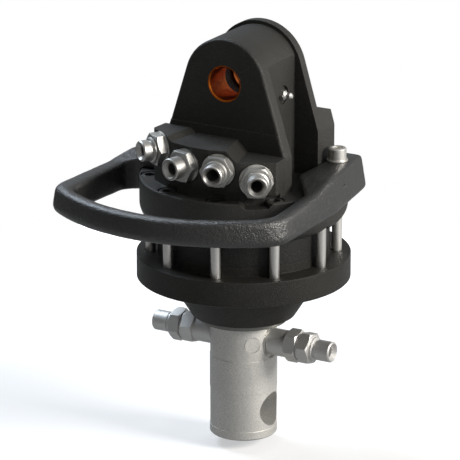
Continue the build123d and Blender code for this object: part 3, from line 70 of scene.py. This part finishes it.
class Tree:
    """Thin helper round a node tree that adds and links nodes."""

    def __init__(self, name: str, world: bool = False) -> None:
        """Start an empty tree with its output node.

        Args:
            name: the name of the material or the world.
            world: True for a world, False for a material.
        """
        store = bpy.data.worlds if world else bpy.data.materials
        self.owner = store.new(name)
        self.owner.use_nodes = True
        self.nodes = self.owner.node_tree.nodes
        self.links = self.owner.node_tree.links
        self.nodes.clear()
        self.output = self.nodes.new("ShaderNodeOutputWorld" if world else "ShaderNodeOutputMaterial")

    def add(self, kind: str, **settings: object) -> bpy.types.Node:
        """Add a node and set its properties and inputs.

        Args:
            kind: the node type without the ShaderNode prefix.
            settings: node properties, or input values when the name has a leading in_ and a socket name.

        Returns:
            The new node.
        """
        node = self.nodes.new("ShaderNode" + kind)
        for key, value in settings.items():
            if key.startswith("in_"):
                self.set(node, key[3:].replace("_", " "), value)
            else:
                setattr(node, key, value)
        return node

    def set(self, node: bpy.types.Node, socket: str, value: object) -> None:
        """Set or link one input socket of a node.

        Args:
            node: the node that gets the value.
            socket: the socket's name.
            value: a plain value, or an output socket to link.
        """
        target = node.inputs[socket]
        if isinstance(value, Socket):
            self.links.new(value, target)
        else:
            target.default_value = value

    def math(self, operation: str, first: object, second: object = 0.0) -> Socket:
        """Calculate with two values.

        Args:
            operation: the math node's operation.
            first: a number or its socket.
            second: a number or its socket.

        Returns:
            The result's socket.
        """
        node = self.nodes.new("ShaderNodeMath")
        node.operation = operation
        for index, value in enumerate((first, second)):
            if isinstance(value, Socket):
                self.links.new(value, node.inputs[index])
            else:
                node.inputs[index].default_value = value
        return node.outputs[0]

    def mix(self, factor: object, low: object, high: object) -> Socket:
        """Blend two colours.

        Args:
            factor: a socket or number from 0, the first colour, to 1, the second.
            low: the first colour or its socket.
            high: the second colour or its socket.

        Returns:
            The blended colour's socket.
        """
        node = self.nodes.new("ShaderNodeMix")
        node.data_type = "RGBA"
        for index, value in ((0, factor), (6, low), (7, high)):
            if isinstance(value, Socket):
                self.links.new(value, node.inputs[index])
            elif index:
                node.inputs[index].default_value = (*value, 1.0)
            else:
                node.inputs[index].default_value = value
        return node.outputs[2]

    def ramp(self, value: Socket, low: float, high: float) -> Socket:
        """Stretch a value so that low becomes 0 and high becomes 1, clamped.

        Args:
            value: the value's socket.
            low: what becomes 0.
            high: what becomes 1.

        Returns:
            The stretched value's socket.
        """
        node = self.add("MapRange", in_Value=value)
        self.set(node, "From Min", low)
        self.set(node, "From Max", high)
        return node.outputs["Result"]

    def noise(self, scale: float, detail: float = 3.0, roughness: float = 0.5) -> Socket:
        """Noise on Object coordinates.

        Args:
            scale: blobs per metre.
            detail: octaves.
            roughness: how much the finer octaves count.

        Returns:
            The noise value's socket.
        """
        node = self.add("TexNoise", in_Scale=scale, in_Detail=detail, in_Roughness=roughness)
        self.links.new(self.add("TexCoord").outputs["Object"], node.inputs["Vector"])
        return node.outputs["Fac"]

    def stretched(self, scale: Vector, detail: float = 2.0) -> Socket:
        """Noise on Object coordinates with its own scale along each axis, for tool marks.

        Args:
            scale: marks per metre along x, y and z.
            detail: octaves.

        Returns:
            The noise value's socket.
        """
        place = self.add("TexCoord")
        mapping = self.add("Mapping", in_Scale=scale, in_Vector=place.outputs["Object"])
        node = self.add("TexNoise", in_Scale=1.0, in_Detail=detail, in_Vector=mapping.outputs[0])
        return node.outputs["Fac"]

    def bump(self, height: Socket, distance: float, strength: float, under: Socket | None = None) -> Socket:
        """Bump a surface by a height.

        Args:
            height: the height's socket.
            distance: metres for a height of one.
            strength: share of the effect.
            under: a normal's socket that this bump lies on, or None.

        Returns:
            The bumped normal's socket.
        """
        node = self.add("Bump", in_Strength=strength, in_Distance=distance)
        self.links.new(height, node.inputs["Height"])
        if under is not None:
            self.links.new(under, node.inputs["Normal"])
        return node.outputs["Normal"]

    def soft_edges(self, radius: float) -> Socket:
        """Normal that rounds the sharp edges.

        Args:
            radius: the rounding's radius in metres.

        Returns:
            The normal's socket.
        """
        node = self.add("Bevel", in_Radius=radius)
        node.samples = EDGE_SAMPLES
        return node.outputs["Normal"]

    def edge_mask(self, rounded: Socket, low: float, high: float) -> Socket:
        """Mask that is 1 on rounded edges and 0 on the faces between them.

        Args:
            rounded: the socket of the normal that rounds the edges.
            low: the turn of the normal at which the mask starts.
            high: the turn at which it is full.

        Returns:
            The mask's socket.
        """
        geometry = self.add("NewGeometry")
        dot = self.add("VectorMath", operation="DOT_PRODUCT")
        self.links.new(rounded, dot.inputs[0])
        self.links.new(geometry.outputs["Normal"], dot.inputs[1])
        return self.ramp(self.math("SUBTRACT", 1.0, dot.outputs["Value"]), low, high)

    def height(self) -> Socket:
        """Read the height in the part's frame, in metres.

        Returns:
            The height's socket.
        """
        split = self.add("SeparateXYZ", in_Vector=self.add("TexCoord").outputs["Object"])
        return split.outputs["Z"]

    def eye(self, path: bpy.types.Node) -> Socket:
        """Value that is 1 for the rays that the camera sees directly or through glass.

        Args:
            path: a light path node.

        Returns:
            The value's socket.
        """
        return self.math("MAXIMUM", path.outputs["Is Camera Ray"], path.outputs["Is Transmission Ray"])

    def blend(self, factor: object, low: bpy.types.Node, high: bpy.types.Node) -> bpy.types.Node:
        """Mix two shaders.

        Args:
            factor: a socket or number from 0, the first shader, to 1, the second.
            low: the first shader.
            high: the second shader.

        Returns:
            The mixed shader.
        """
        node = self.add("MixShader", in_Fac=factor)
        self.links.new(low.outputs[0], node.inputs[1])
        self.links.new(high.outputs[0], node.inputs[2])
        return node

    def close(self, shader: bpy.types.Node) -> bpy.types.ID:
        """Link the last shader to the output.

        Args:
            shader: the last shader.

        Returns:
            The finished material or world.
        """
        self.links.new(shader.outputs[0], self.output.inputs[0])
        return self.owner


def scaled(colour: Rgb, factor: float, lift: float = 0.0) -> Rgb:
    """Scale and lift a colour, kept at or under one.

    Args:
        colour: the colour.
        factor: what each part is multiplied by.
        lift: what is then added to each part.

    Returns:
        The changed colour.
    """
    return tuple(min(1.0, factor * part + lift) for part in colour)


@dataclass(frozen=True)
class Sand:
    """Grain of a cast skin: blobs per metre, and depths in metres."""

    grain_scale: float
    grain_depth: float
    lump_scale: float
    lump_depth: float


SANDS = {
    Skin.FINE: Sand(760.0, 0.0007, 330.0, 0.00030),
    Skin.COARSE: Sand(640.0, 0.0008, 190.0, 0.0006),
}


@dataclass(frozen=True)
class CastPaint:
    """Black satin paint over a sand-cast skin."""

    name: str
    colour: Rgb
    skin: Skin
    roughness: float = 0.5
    gloss: float = 0.25
    edge_radius: float = 0.0008
    drift_scale: float = 22.0
    drift_range: Span = (0.3, 0.7)
    drift_shades: Span = (0.78, 1.12)
    dust_scale: float = 1050.0
    dust_range: Span = (0.66, 0.76)
    speck_glint_range: Span = (0.58, 0.74)
    worn_lit_edge_range: Span = (0.40, 0.60)
    edge_range: Span = (0.004, 0.12)
    bump_share: float = 0.9
    speck_glint_share: float = 0.35
    fleck_share: float = 0.5
    worn_lit_edge_share: float = 0.6
    rough_drift: float = 0.16

    def colours(self, tree: Tree, grain: Socket, drift: Socket, edge: Socket) -> Socket:
        """Paint colour with light specks, dust and light edges: the specks are partly cast grain and partly
        painted glint, the edges partly wear and partly painted highlight.

        Args:
            tree: the material's tree.
            grain: the grain's socket.
            drift: the socket of the slow change over the surface.
            edge: the mask of the edges.

        Returns:
            The colour's socket.
        """
        # lightened paint, which colours the light specks and the light edges below
        light = scaled(self.colour, 2.2, 0.02)
        # light specks on the grain: partly cast grain, partly painted glint
        speck_glint = tree.math("MULTIPLY", tree.ramp(grain, *self.speck_glint_range), self.speck_glint_share)
        dust = tree.ramp(tree.noise(self.dust_scale, 1.0), *self.dust_range)
        # lighter rubbed edges: partly wear, partly painted edge highlight
        worn_lit_edge = tree.math("MULTIPLY", edge, tree.ramp(grain, *self.worn_lit_edge_range))
        low, high = self.drift_shades
        shade = tree.ramp(drift, *self.drift_range)
        base = tree.mix(shade, scaled(self.colour, low), scaled(self.colour, high))
        base = tree.mix(speck_glint, base, light)
        flecks = tree.math("MULTIPLY", dust, self.fleck_share)
        base = tree.mix(flecks, base, scaled(self.colour, 3.0, 0.05))
        return tree.mix(tree.math("MULTIPLY", worn_lit_edge, self.worn_lit_edge_share), base, light)

    def make(self) -> bpy.types.Material:
        """Build the painted cast material.

        Returns:
            The material.
        """
        tree = Tree(self.name)
        sand = SANDS[self.skin]
        grain = tree.noise(sand.grain_scale, 3.0, 0.65)
        lumps = tree.noise(sand.lump_scale, 2.0)
        drift = tree.noise(self.drift_scale, 3.0)
        rounded = tree.soft_edges(self.edge_radius)
        low = tree.bump(lumps, sand.lump_depth, self.bump_share, rounded)
        normal = tree.bump(grain, sand.grain_depth, self.bump_share, low)
        edge = tree.edge_mask(rounded, *self.edge_range)
        swing = tree.math("MULTIPLY", drift, self.rough_drift)
        shader = tree.add("BsdfPrincipled")
        tree.set(shader, "Base Color", self.colours(tree, grain, drift, edge))
        tree.set(shader, "Roughness", tree.math("ADD", swing, self.roughness - self.rough_drift / 2))
        tree.set(shader, "Normal", normal)
        tree.set(shader, "Specular IOR Level", self.gloss)
        return tree.close(shader)


@dataclass(frozen=True)
class MachinedSteel:
    """Turned, ground or plated steel with tool marks and a fine mottle."""

    name: str
    colour: Rgb
    roughness: float
    lay: Lay = Lay.GROUND
    mottle: float = 0.10
    edge_radius: float = 0.0004
    across_marks: float = 2600.0
    along_marks: float = 60.0
    ground_marks: float = 1400.0
    mark_depth: float = 0.00006
    mark_share: float = 0.5
    mottle_scale: float = 900.0
    mottle_range: Span = (0.3, 0.7)
    mottle_share: float = 0.6
    cloud_scale: float = 34.0
    cloud_range: Span = (0.4, 0.75)
    cloud_share: float = 0.3
    rough_swing: float = 0.14

    def marks(self, tree: Tree) -> Socket:
        """Noise drawn out along the tool's path.

        Args:
            tree: the material's tree.

        Returns:
            The noise value's socket.
        """
        fine, long, ground = self.across_marks, self.along_marks, self.ground_marks
        scales = {
            Lay.ROUND_X: Vector((fine, long, long)),
            Lay.ROUND_Z: Vector((long, long, fine)),
            Lay.GROUND: Vector((ground, ground, ground)),
        }
        return tree.stretched(scales[self.lay])

    def make(self) -> bpy.types.Material:
        """Build the machined steel material.

        Returns:
            The material.
        """
        tree = Tree(self.name)
        marks = self.marks(tree)
        mottle = tree.noise(self.mottle_scale, 3.0, 0.6)
        cloud = tree.ramp(tree.noise(self.cloud_scale, 3.0), *self.cloud_range)
        edges = tree.soft_edges(self.edge_radius)
        normal = tree.bump(marks, self.mark_depth, self.mark_share, edges)
        normal = tree.bump(mottle, self.mark_depth, self.mottle_share, normal)
        dark = scaled(self.colour, 1 - 1.6 * self.mottle)
        light = scaled(self.colour, 1 + self.mottle)
        base = tree.mix(tree.ramp(mottle, *self.mottle_range), dark, light)
        base = tree.mix(tree.math("MULTIPLY", cloud, self.cloud_share), base, dark)
        swing = tree.math("MULTIPLY", mottle, self.rough_swing)
        rough = tree.math("ADD", swing, self.roughness - self.rough_swing / 2)
        shader = tree.add("BsdfPrincipled")
        tree.set(shader, "Base Color", base)
        tree.set(shader, "Metallic", 1.0)
        tree.set(shader, "Roughness", rough)
        tree.set(shader, "Normal", normal)
        return tree.close(shader)


@dataclass(frozen=True)
class Bronze:
    """Copper-red bearing bronze, bored round the lug's axis."""

    name: str
    colour: Rgb
    dark: Rgb
    roughness: float = 0.32
    marks: Vector = field(default_factory=lambda: Vector((70.0, 2400.0, 70.0)))
    mark_depth: float = 0.00005
    mark_share: float = 0.5
    tarnish_scale: float = 120.0
    tarnish_range: Span = (0.35, 0.7)
    edge_radius: float = 0.0004
    rough_swing: float = 0.2

    def make(self) -> bpy.types.Material:
        """Build the bronze material.

        Returns:
            The material.
        """
        tree = Tree(self.name)
        tarnish = tree.noise(self.tarnish_scale, 4.0, 0.6)
        edges = tree.soft_edges(self.edge_radius)
        normal = tree.bump(tree.stretched(self.marks), self.mark_depth, self.mark_share, edges)
        base = tree.mix(tree.ramp(tarnish, *self.tarnish_range), self.colour, self.dark)
        swing = tree.math("MULTIPLY", tarnish, self.rough_swing)
        rough = tree.math("ADD", swing, self.roughness - self.rough_swing / 2)
        shader = tree.add("BsdfPrincipled")
        tree.set(shader, "Base Color", base)
        tree.set(shader, "Metallic", 1.0)
        tree.set(shader, "Roughness", rough)
        tree.set(shader, "Normal", normal)
        return tree.close(shader)


@dataclass(frozen=True)
class SealRubber:
    """Matt black seal rubber."""

    name: str
    colour: Rgb = (0.02, 0.02, 0.02)
    bloom: Rgb = (0.035, 0.035, 0.035)
    grain_scale: float = 1800.0
    grain_depth: float = 0.00008
    grain_share: float = 0.6
    roughness: float = 0.6
    rough_swing: float = 0.2

    def make(self) -> bpy.types.Material:
        """Build the rubber material.

        Returns:
            The material.
        """
        tree = Tree(self.name)
        grain = tree.noise(self.grain_scale, 2.0)
        swing = tree.math("MULTIPLY", grain, self.rough_swing)
        shader = tree.add("BsdfPrincipled")
        tree.set(shader, "Base Color", tree.mix(grain, self.colour, self.bloom))
        tree.set(shader, "Roughness", tree.math("ADD", swing, self.roughness))
        tree.set(shader, "Normal", tree.bump(grain, self.grain_depth, self.grain_share))
        return tree.close(shader)


@dataclass(frozen=True)
class PaintedHeadScrew:
    """Steel screw whose upper part was painted with the housing."""

    name: str
    steel: Rgb
    paint: Rgb
    paint_above: float
    ragged: float = 0.002
    ragged_scale: float = 300.0
    border: float = 0.0006
    mottle_scale: float = 1100.0
    mottle_range: Span = (0.3, 0.7)
    mottle_depth: float = 0.00006
    mottle_share: float = 0.6
    dark_shade: float = 0.75
    steel_roughness: float = 0.38
    paint_roughness: float = 0.50
    edge_radius: float = 0.0005

    def make(self) -> bpy.types.Material:
        """Build the two-tone screw material.

        Returns:
            The material.
        """
        tree = Tree(self.name)
        drips = tree.math("MULTIPLY", tree.noise(self.ragged_scale, 2.0), self.ragged)
        level = tree.math("ADD", tree.height(), drips)
        painted = tree.ramp(level, self.paint_above, self.paint_above + self.border)
        mottle = tree.noise(self.mottle_scale, 3.0, 0.6)
        shade = tree.ramp(mottle, *self.mottle_range)
        steel = tree.mix(shade, scaled(self.steel, self.dark_shade), self.steel)
        rougher = tree.math("MULTIPLY", painted, self.paint_roughness - self.steel_roughness)
        edges = tree.soft_edges(self.edge_radius)
        shader = tree.add("BsdfPrincipled")
        tree.set(shader, "Base Color", tree.mix(painted, steel, self.paint))
        tree.set(shader, "Metallic", tree.math("SUBTRACT", 1.0, painted))
        tree.set(shader, "Roughness", tree.math("ADD", rougher, self.steel_roughness))
        tree.set(shader, "Normal", tree.bump(mottle, self.mottle_depth, self.mottle_share, edges))
        return tree.close(shader)


HOUSING_PAINT = CastPaint("black_satin_paint", (0.023, 0.0225, 0.020), Skin.FINE, 0.50, 0.36)
# painted shade: the housing's black paint made darker for the stator ring, which sits back between the
# flanges in their shade
STATOR_PAINT = CastPaint("thin_black_stator_paint", (0.013, 0.013, 0.0125), Skin.FINE, 0.45)
# painted shade: the housing's black paint made darker for the cover, whose flange top lies in the guard's
# shadow
COVER_PAINT = CastPaint("shaded_black_cover_paint", (0.017, 0.0165, 0.0145), Skin.FINE, 0.46, 0.22)
GUARD_PAINT = CastPaint("guard_black_paint", (0.012, 0.012, 0.0115), Skin.COARSE, 0.33, 0.95, 0.0015)
SHAFT_STEEL = MachinedSteel("ground_shaft_steel", (0.76, 0.75, 0.72), 0.62, Lay.GROUND, 0.14)
# the gland ring's steel gets a dark base colour, under a third of the shaft's
GLAND_STEEL = MachinedSteel("dark_gland_steel", (0.22, 0.22, 0.205), 0.42, Lay.ROUND_Z, 0.08)
# one fitting steel at two brightnesses: darker on the upper fittings, a painted shade, and lighter on the
# side fittings, painted light; their tool marks also differ
UPPER_FITTING_STEEL = MachinedSteel("shaded_plated_fitting_steel", (0.54, 0.535, 0.515), 0.46, Lay.GROUND, 0.06)
SIDE_FITTING_STEEL = MachinedSteel("lit_turned_side_fitting_steel", (0.72, 0.715, 0.70), 0.56, Lay.ROUND_X, 0.07)
BRIGHT_ZINC = MachinedSteel("bright_zinc", (0.74, 0.73, 0.70), 0.48, Lay.GROUND, 0.07)
INNER_STEEL = MachinedSteel("oiled_inner_steel", (0.45, 0.45, 0.45), 0.30, Lay.ROUND_Z, 0.06)
BUSH_BRONZE = Bronze("bush_bronze", (0.66, 0.170, 0.020), (0.30, 0.065, 0.008))
SEAL_BLACK = SealRubber("seal_rubber")
SCREW_STEEL = PaintedHeadScrew("part_painted_screw_steel", (0.80, 0.79, 0.76), (0.022, 0.0215, 0.019), 0.2425)

Finish = CastPaint | MachinedSteel | Bronze | SealRubber | PaintedHeadScrew


def wear(finish: Finish, *names: str) -> None:
    """Put one finish on every slot of some carried-over solids.

    Args:
        finish: the finish that they get.
        names: the nodes' names.
    """
    material = finish.make()
    for name in names:
        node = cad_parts[name]
        if not node.material_slots:
            node.data.materials.append(material)
        for slot in node.material_slots:
            slot.material = material
        LOG.info("%s wears %s", name, finish.name)


def placed(name: str, mesh: bpy.types.Mesh) -> bpy.types.Object:
    """Put a mesh into the scene as an object at the origin.

    Args:
        name: the object's name.
        mesh: its mesh.

    Returns:
        The object.
    """
    piece = bpy.data.objects.new(name, mesh)
    bpy.context.scene.collection.objects.link(piece)
    return piece


@dataclass
class UpperHousing:
    """Black casting with the lug, the port block and the disc."""

    casting: str = "upper_housing"
    clamping_screws: str = "housing_screws"

    def dress(self) -> None:
        """Paint the casting and the heads of its clamping screws."""
        wear(HOUSING_PAINT, self.casting)
        wear(SCREW_STEEL, self.clamping_screws)


@dataclass
class LugFittings:
    """Bronze bushes of the pin bore and the grease nipple beside them."""

    bushes: tuple[str, ...] = ("pin_bush_front", "pin_bush_rear")
    nipple: str = "grease_nipple"

    def dress(self) -> None:
        """Give the bushes their bronze and the nipple its zinc."""
        wear(BUSH_BRONZE, *self.bushes)
        wear(BRIGHT_ZINC, self.nipple)


@dataclass
class HoseFittings:
    """Adapters of the upper ports and of the shaft, with nipples and sealing washers."""

    upper: tuple[str, ...] = ("port_adapter_1", "port_adapter_2", "port_adapter_3", "port_adapter_4")
    lower: tuple[str, ...] = (
        "lower_adapter_left", "lower_adapter_right", "lower_nipple_left", "lower_nipple_right",
    )
    washers: tuple[str, ...] = ("port_seals", "lower_seals")

    def dress(self) -> None:
        """Plate the fittings and their washers."""
        wear(UPPER_FITTING_STEEL, *self.upper)
        wear(SIDE_FITTING_STEEL, *self.lower)
        wear(BRIGHT_ZINC, *self.washers)


@dataclass
class HoseGuard:
    """Cast bow round the upper fittings and the screws that hold it."""

    casting: str = "hose_guard"
    piece_name: str = "guard_casting"
    fasteners: tuple[str, ...] = ("guard_screws", "guard_washers")
    weld: float = 0.00001
    cell: float = 0.0012
    grip_from: float = -0.070
    grip_fade_end: float = -0.030
    rounding: int = 64
    filling: float = 0.0006
    smoothing: int = 8
    pit_depth: float = 0.0004
    pit_width: float = 0.0032
    wave_depth: float = 0.0003
    wave_width: float = 0.022

    def uneven(self, piece: bpy.types.Object, name: str, width: float, depth: float) -> None:
        """Sink a piece's skin by a noise of one width, never outwards.

        Args:
            piece: the casting's object.
            name: the name of the noise.
            width: the noise's width in metres.
            depth: the deepest it sinks the skin, in metres.
        """
        noise = bpy.data.textures.new(name, "CLOUDS")
        noise.noise_scale = width
        noise.noise_depth = 2
        sink = piece.modifiers.new(name, "DISPLACE")
        sink.texture = noise
        sink.texture_coords = "LOCAL"
        sink.mid_level = 1.0
        sink.strength = depth

    def baked(self, pattern: bpy.types.Object) -> bpy.types.Object:
        """Turn a pattern and its live modifiers into a plain object, and drop the pattern.

        Args:
            pattern: the object with the modifiers.

        Returns:
            An object with the modified mesh.
        """
        shaped = pattern.evaluated_get(bpy.context.evaluated_depsgraph_get())
        mesh = bpy.data.meshes.new_from_object(shaped)
        mesh.name = self.piece_name
        bpy.data.objects.remove(pattern)
        return placed(self.piece_name, mesh)

    def gridded(self) -> bpy.types.Object:
        """Mesh the bow's solid anew on an even grid, fine enough to smooth.

        Returns:
            The gridded object.
        """
        solid = bmesh.new()
        solid.from_mesh(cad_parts[self.casting].data)
        bmesh.ops.remove_doubles(solid, verts=solid.verts, dist=self.weld)
        raw = bpy.data.meshes.new("guard_pattern")
        solid.to_mesh(raw)
        solid.free()
        pattern = placed("guard_pattern", raw)
        grid = pattern.modifiers.new("sand_grid", "REMESH")
        grid.mode = "VOXEL"
        grid.voxel_size = self.cell
        return self.baked(pattern)

    def round_grip(self, piece: bpy.types.Object) -> None:
        """Round the bow's front bar, which is the grip, and leave the arms' roots as they are.

        Args:
            piece: the casting's object.
        """
        grip = piece.vertex_groups.new(name="grip")
        for vertex in piece.data.vertices:
            share = (self.grip_fade_end - vertex.co.y) / (self.grip_fade_end - self.grip_from)
            if share > 0.0:
                grip.add([vertex.index], min(1.0, share), "REPLACE")
        rounding = piece.modifiers.new("rounded_grip", "SMOOTH")
        rounding.iterations = self.rounding
        rounding.vertex_group = grip.name
        filling = piece.modifiers.new("filled_grip", "DISPLACE")
        filling.vertex_group = grip.name
        filling.mid_level = 0.0
        filling.strength = self.filling

    def cast(self) -> bpy.types.Object:
        """Cast the bow anew from its solid, with a rounded grip and an uneven sand skin.

        Returns:
            The casting's object.
        """
        piece = self.gridded()
        self.round_grip(piece)
        soften = piece.modifiers.new("soft_edges", "SMOOTH")
        soften.iterations = self.smoothing
        self.uneven(piece, "cast_waves", self.wave_width, self.wave_depth)
        self.uneven(piece, "sand_pits", self.pit_width, self.pit_depth)
        piece = self.baked(piece)
        piece.vertex_groups.clear()
        piece.name = self.piece_name
        piece.data.shade_smooth()
        piece.data.materials.clear()
        piece.data.materials.append(GUARD_PAINT.make())
        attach(piece, "housing")
        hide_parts(self.casting)
        LOG.info("%s cast with %d faces", piece.name, len(piece.data.polygons))
        return piece

    def dress(self) -> None:
        """Cast and paint the bow and plate its screws."""
        self.cast()
        wear(BRIGHT_ZINC, *self.fasteners)


@dataclass
class MotorCasing:
    """Stator ring and the flanged lower cover."""

    stator: str = "stator_ring"
    cover: str = "lower_cover"

    def dress(self) -> None:
        """Paint the ring and the cover."""
        wear(STATOR_PAINT, self.stator)
        wear(COVER_PAINT, self.cover)


@dataclass
class ShaftSet:
    """Ground shaft with its plug, and the gland ring round it."""

    steel: tuple[str, ...] = ("rotor_shaft", "cross_drilling_plug")
    gland: str = "gland_ring"
    lips: tuple[str, ...] = ("wiper_ring", "shaft_seal")

    def dress(self) -> None:
        """Grind the steel and blacken the lips."""
        wear(SHAFT_STEEL, *self.steel)
        wear(GLAND_STEEL, self.gland)
        wear(SEAL_BLACK, *self.lips)


@dataclass
class VaneWorks:
    """Vane rotor, vanes, plates, bushes and seals inside the casing."""

    vane_count: int = 8
    steel: tuple[str, ...] = ("stator_dowels", "lower_side_plate", "vane_rotor", "rotor_keys")
    bronze: tuple[str, ...] = ("upper_bush", "lower_bush", "thrust_washer_lower", "thrust_washer_upper")
    rubber: tuple[str, ...] = ("swivel_seals", "stator_o_rings")

    def dress(self) -> None:
        """Finish the pieces that only an open casing shows."""
        vanes = [f"vane_{number}" for number in range(1, self.vane_count + 1)]
        wear(INNER_STEEL, *self.steel, *vanes)
        wear(BUSH_BRONZE, *self.bronze)
        wear(SEAL_BLACK, *self.rubber)


def from_angles(azimuth: float, elevation: float, distance: float) -> Vector:
    """Find the point seen from the part's middle under two angles.

    Args:
        azimuth: degrees round the upright axis.
        elevation: degrees above the horizon.
        distance: metres from the middle.

    Returns:
        The point's offset from the middle.
    """
    turn, rise = radians(azimuth), radians(elevation)
    flat = distance * cos(rise)
    return Vector((flat * cos(turn), flat * sin(turn), distance * sin(rise)))


@dataclass(frozen=True)
class Lamp:
    """Soft square lamp that points at the part's middle."""

    name: str
    azimuth: float
    elevation: float
    distance: float
    size: float
    level: float
    colour: Rgb

    def hang(self, middle: Vector) -> None:
        """Hang the lamp so that it lights a plain white card at its level.

        Args:
            middle: the point that it is aimed at, in metres.
        """
        data = bpy.data.lights.new(self.name, "AREA")
        data.shape = "SQUARE"
        data.size = self.size
        data.energy = pi * pi * self.distance**2 * self.level
        data.color = self.colour
        lamp = bpy.data.objects.new(self.name, data)
        offset = from_angles(self.azimuth, self.elevation, self.distance)
        turned = (-offset).to_track_quat("-Z", "Y").to_matrix().to_4x4()
        lamp.matrix_world = Matrix.Translation(middle + offset) @ turned
        lamp.visible_camera = False
        bpy.context.scene.collection.objects.link(lamp)
        LOG.info("%s hung", self.name)


@dataclass
class Studio:
    """Pale floor, white surround, soft lamps and the camera."""

    floor_level: float = -0.011
    floor_radius: float = 0.75
    floor_sides: int = 96
    fade_from: float = 0.34
    fade_to: float = 0.70
    floor_share: float = 0.60
    gloss_loss: float = 0.68
    focal_mm: float = 297.6
    sensor_mm: float = 36.0
    far_end: float = 50.0
    camera_at: Vector = field(default_factory=lambda: Vector((1.7913, -3.1622, 1.3794)))
    camera_aim: Vector = field(default_factory=lambda: Vector((-0.02163, 0.01010, 0.20750)))
    middle: Vector = field(default_factory=lambda: Vector((0.0, 0.0, 0.20)))
    floor_glow: Rgb = (0.43, 0.437, 0.447)
    bounce_grey: float = 0.80
    bright_side: Vector = field(default_factory=lambda: Vector((0.84, 0.42, 0.34)))
    bright_range: Span = (-0.55, 0.95)
    gloss_dark: Rgb = (0.11, 0.11, 0.11)
    gloss_bright: Rgb = (0.62, 0.62, 0.62)
    soft_dark: Rgb = (0.23, 0.23, 0.22)
    soft_bright: Rgb = (0.34, 0.34, 0.35)
    lamps: tuple[Lamp, ...] = (
        Lamp("warm_key_lamp", 4.0, 24.0, 2.2, 0.75, 1.2, (1.0, 0.96, 0.90)),
        Lamp("cool_rear_lamp", 166.0, 46.0, 2.0, 0.80, 0.72, (0.78, 0.88, 1.0)),
    )

    def camera(self) -> None:
        """Place the camera at the photograph's viewpoint."""
        data = bpy.data.cameras.new("view")
        data.lens = self.focal_mm
        data.sensor_width = self.sensor_mm
        data.clip_end = self.far_end
        camera = bpy.data.objects.new("view", data)
        direction = (self.camera_aim - self.camera_at).normalized()
        turned = direction.to_track_quat("-Z", "Y").to_matrix().to_4x4()
        camera.matrix_world = Matrix.Translation(self.camera_at) @ turned
        bpy.context.scene.collection.objects.link(camera)
        bpy.context.scene.camera = camera

    def floor(self) -> None:
        """Lay a round pale floor that keeps the shadow and fades out at its rim."""
        mesh = bmesh.new()
        bmesh.ops.create_circle(mesh, cap_ends=True, segments=self.floor_sides, radius=self.floor_radius)
        bmesh.ops.translate(mesh, vec=(0.0, 0.0, self.floor_level), verts=mesh.verts)
        data = bpy.data.meshes.new("studio_floor")
        mesh.to_mesh(data)
        mesh.free()
        floor = placed("studio_floor", data)
        tree = Tree("pale_floor")
        reach = tree.add("VectorMath", operation="LENGTH")
        tree.links.new(tree.add("TexCoord").outputs["Object"], reach.inputs[0])
        fade = tree.ramp(reach.outputs["Value"], self.fade_from, self.fade_to)
        path = tree.add("LightPath")
        dulled = tree.math("MULTIPLY", path.outputs["Is Glossy Ray"], self.gloss_loss)
        strength = tree.math("SUBTRACT", 1.0, dulled)
        seen = tree.math("MAXIMUM", tree.eye(path), path.outputs["Is Glossy Ray"])
        plain = tree.add("BsdfDiffuse", in_Color=(*3 * (self.bounce_grey,), 1.0))
        card = tree.add("BsdfDiffuse", in_Color=tree.math("MULTIPLY", strength, self.floor_share))
        glow = tree.add("Emission", in_Strength=strength, in_Color=tree.mix(fade, self.floor_glow, WHITE))
        lit = tree.add("AddShader")
        tree.links.new(card.outputs[0], lit.inputs[0])
        tree.links.new(glow.outputs[0], lit.inputs[1])
        data.materials.append(tree.close(tree.blend(seen, plain, lit)))

    def surround(self) -> None:
        """White surround for the eye, brighter on one side for gloss and soft light."""
        tree = Tree("surround", world=True)
        side = tree.add("VectorMath", operation="DOT_PRODUCT")
        tree.links.new(tree.add("TexCoord").outputs["Generated"], side.inputs[0])
        side.inputs[1].default_value = self.bright_side.normalized()
        bright = tree.ramp(side.outputs["Value"], *self.bright_range)
        path = tree.add("LightPath")
        white = tree.add("Background", in_Color=(*WHITE, 1.0))
        gloss = tree.add("Background", in_Color=tree.mix(bright, self.gloss_dark, self.gloss_bright))
        soft = tree.add("Background", in_Color=tree.mix(bright, self.soft_dark, self.soft_bright))
        rest = tree.blend(path.outputs["Is Glossy Ray"], soft, gloss)
        bpy.context.scene.world = tree.close(tree.blend(tree.eye(path), rest, white))

    def build(self) -> None:
        """Set up floor, surround, lamps and camera."""
        self.floor()
        self.surround()
        for lamp in self.lamps:
            lamp.hang(self.middle)
        self.camera()
        bpy.context.scene.view_settings.view_transform = "Standard"
        LOG.info("studio ready")


def main() -> None:
    """Dress each sub-assembly and set up the studio."""
    logging.basicConfig(level=logging.INFO, format="%(message)s")
    for part in (
        UpperHousing(), LugFittings(), HoseFittings(), HoseGuard(), MotorCasing(), ShaftSet(), VaneWorks(),
    ):
        part.dress()
    Studio().build()


if __name__ == "__main__":
    main()
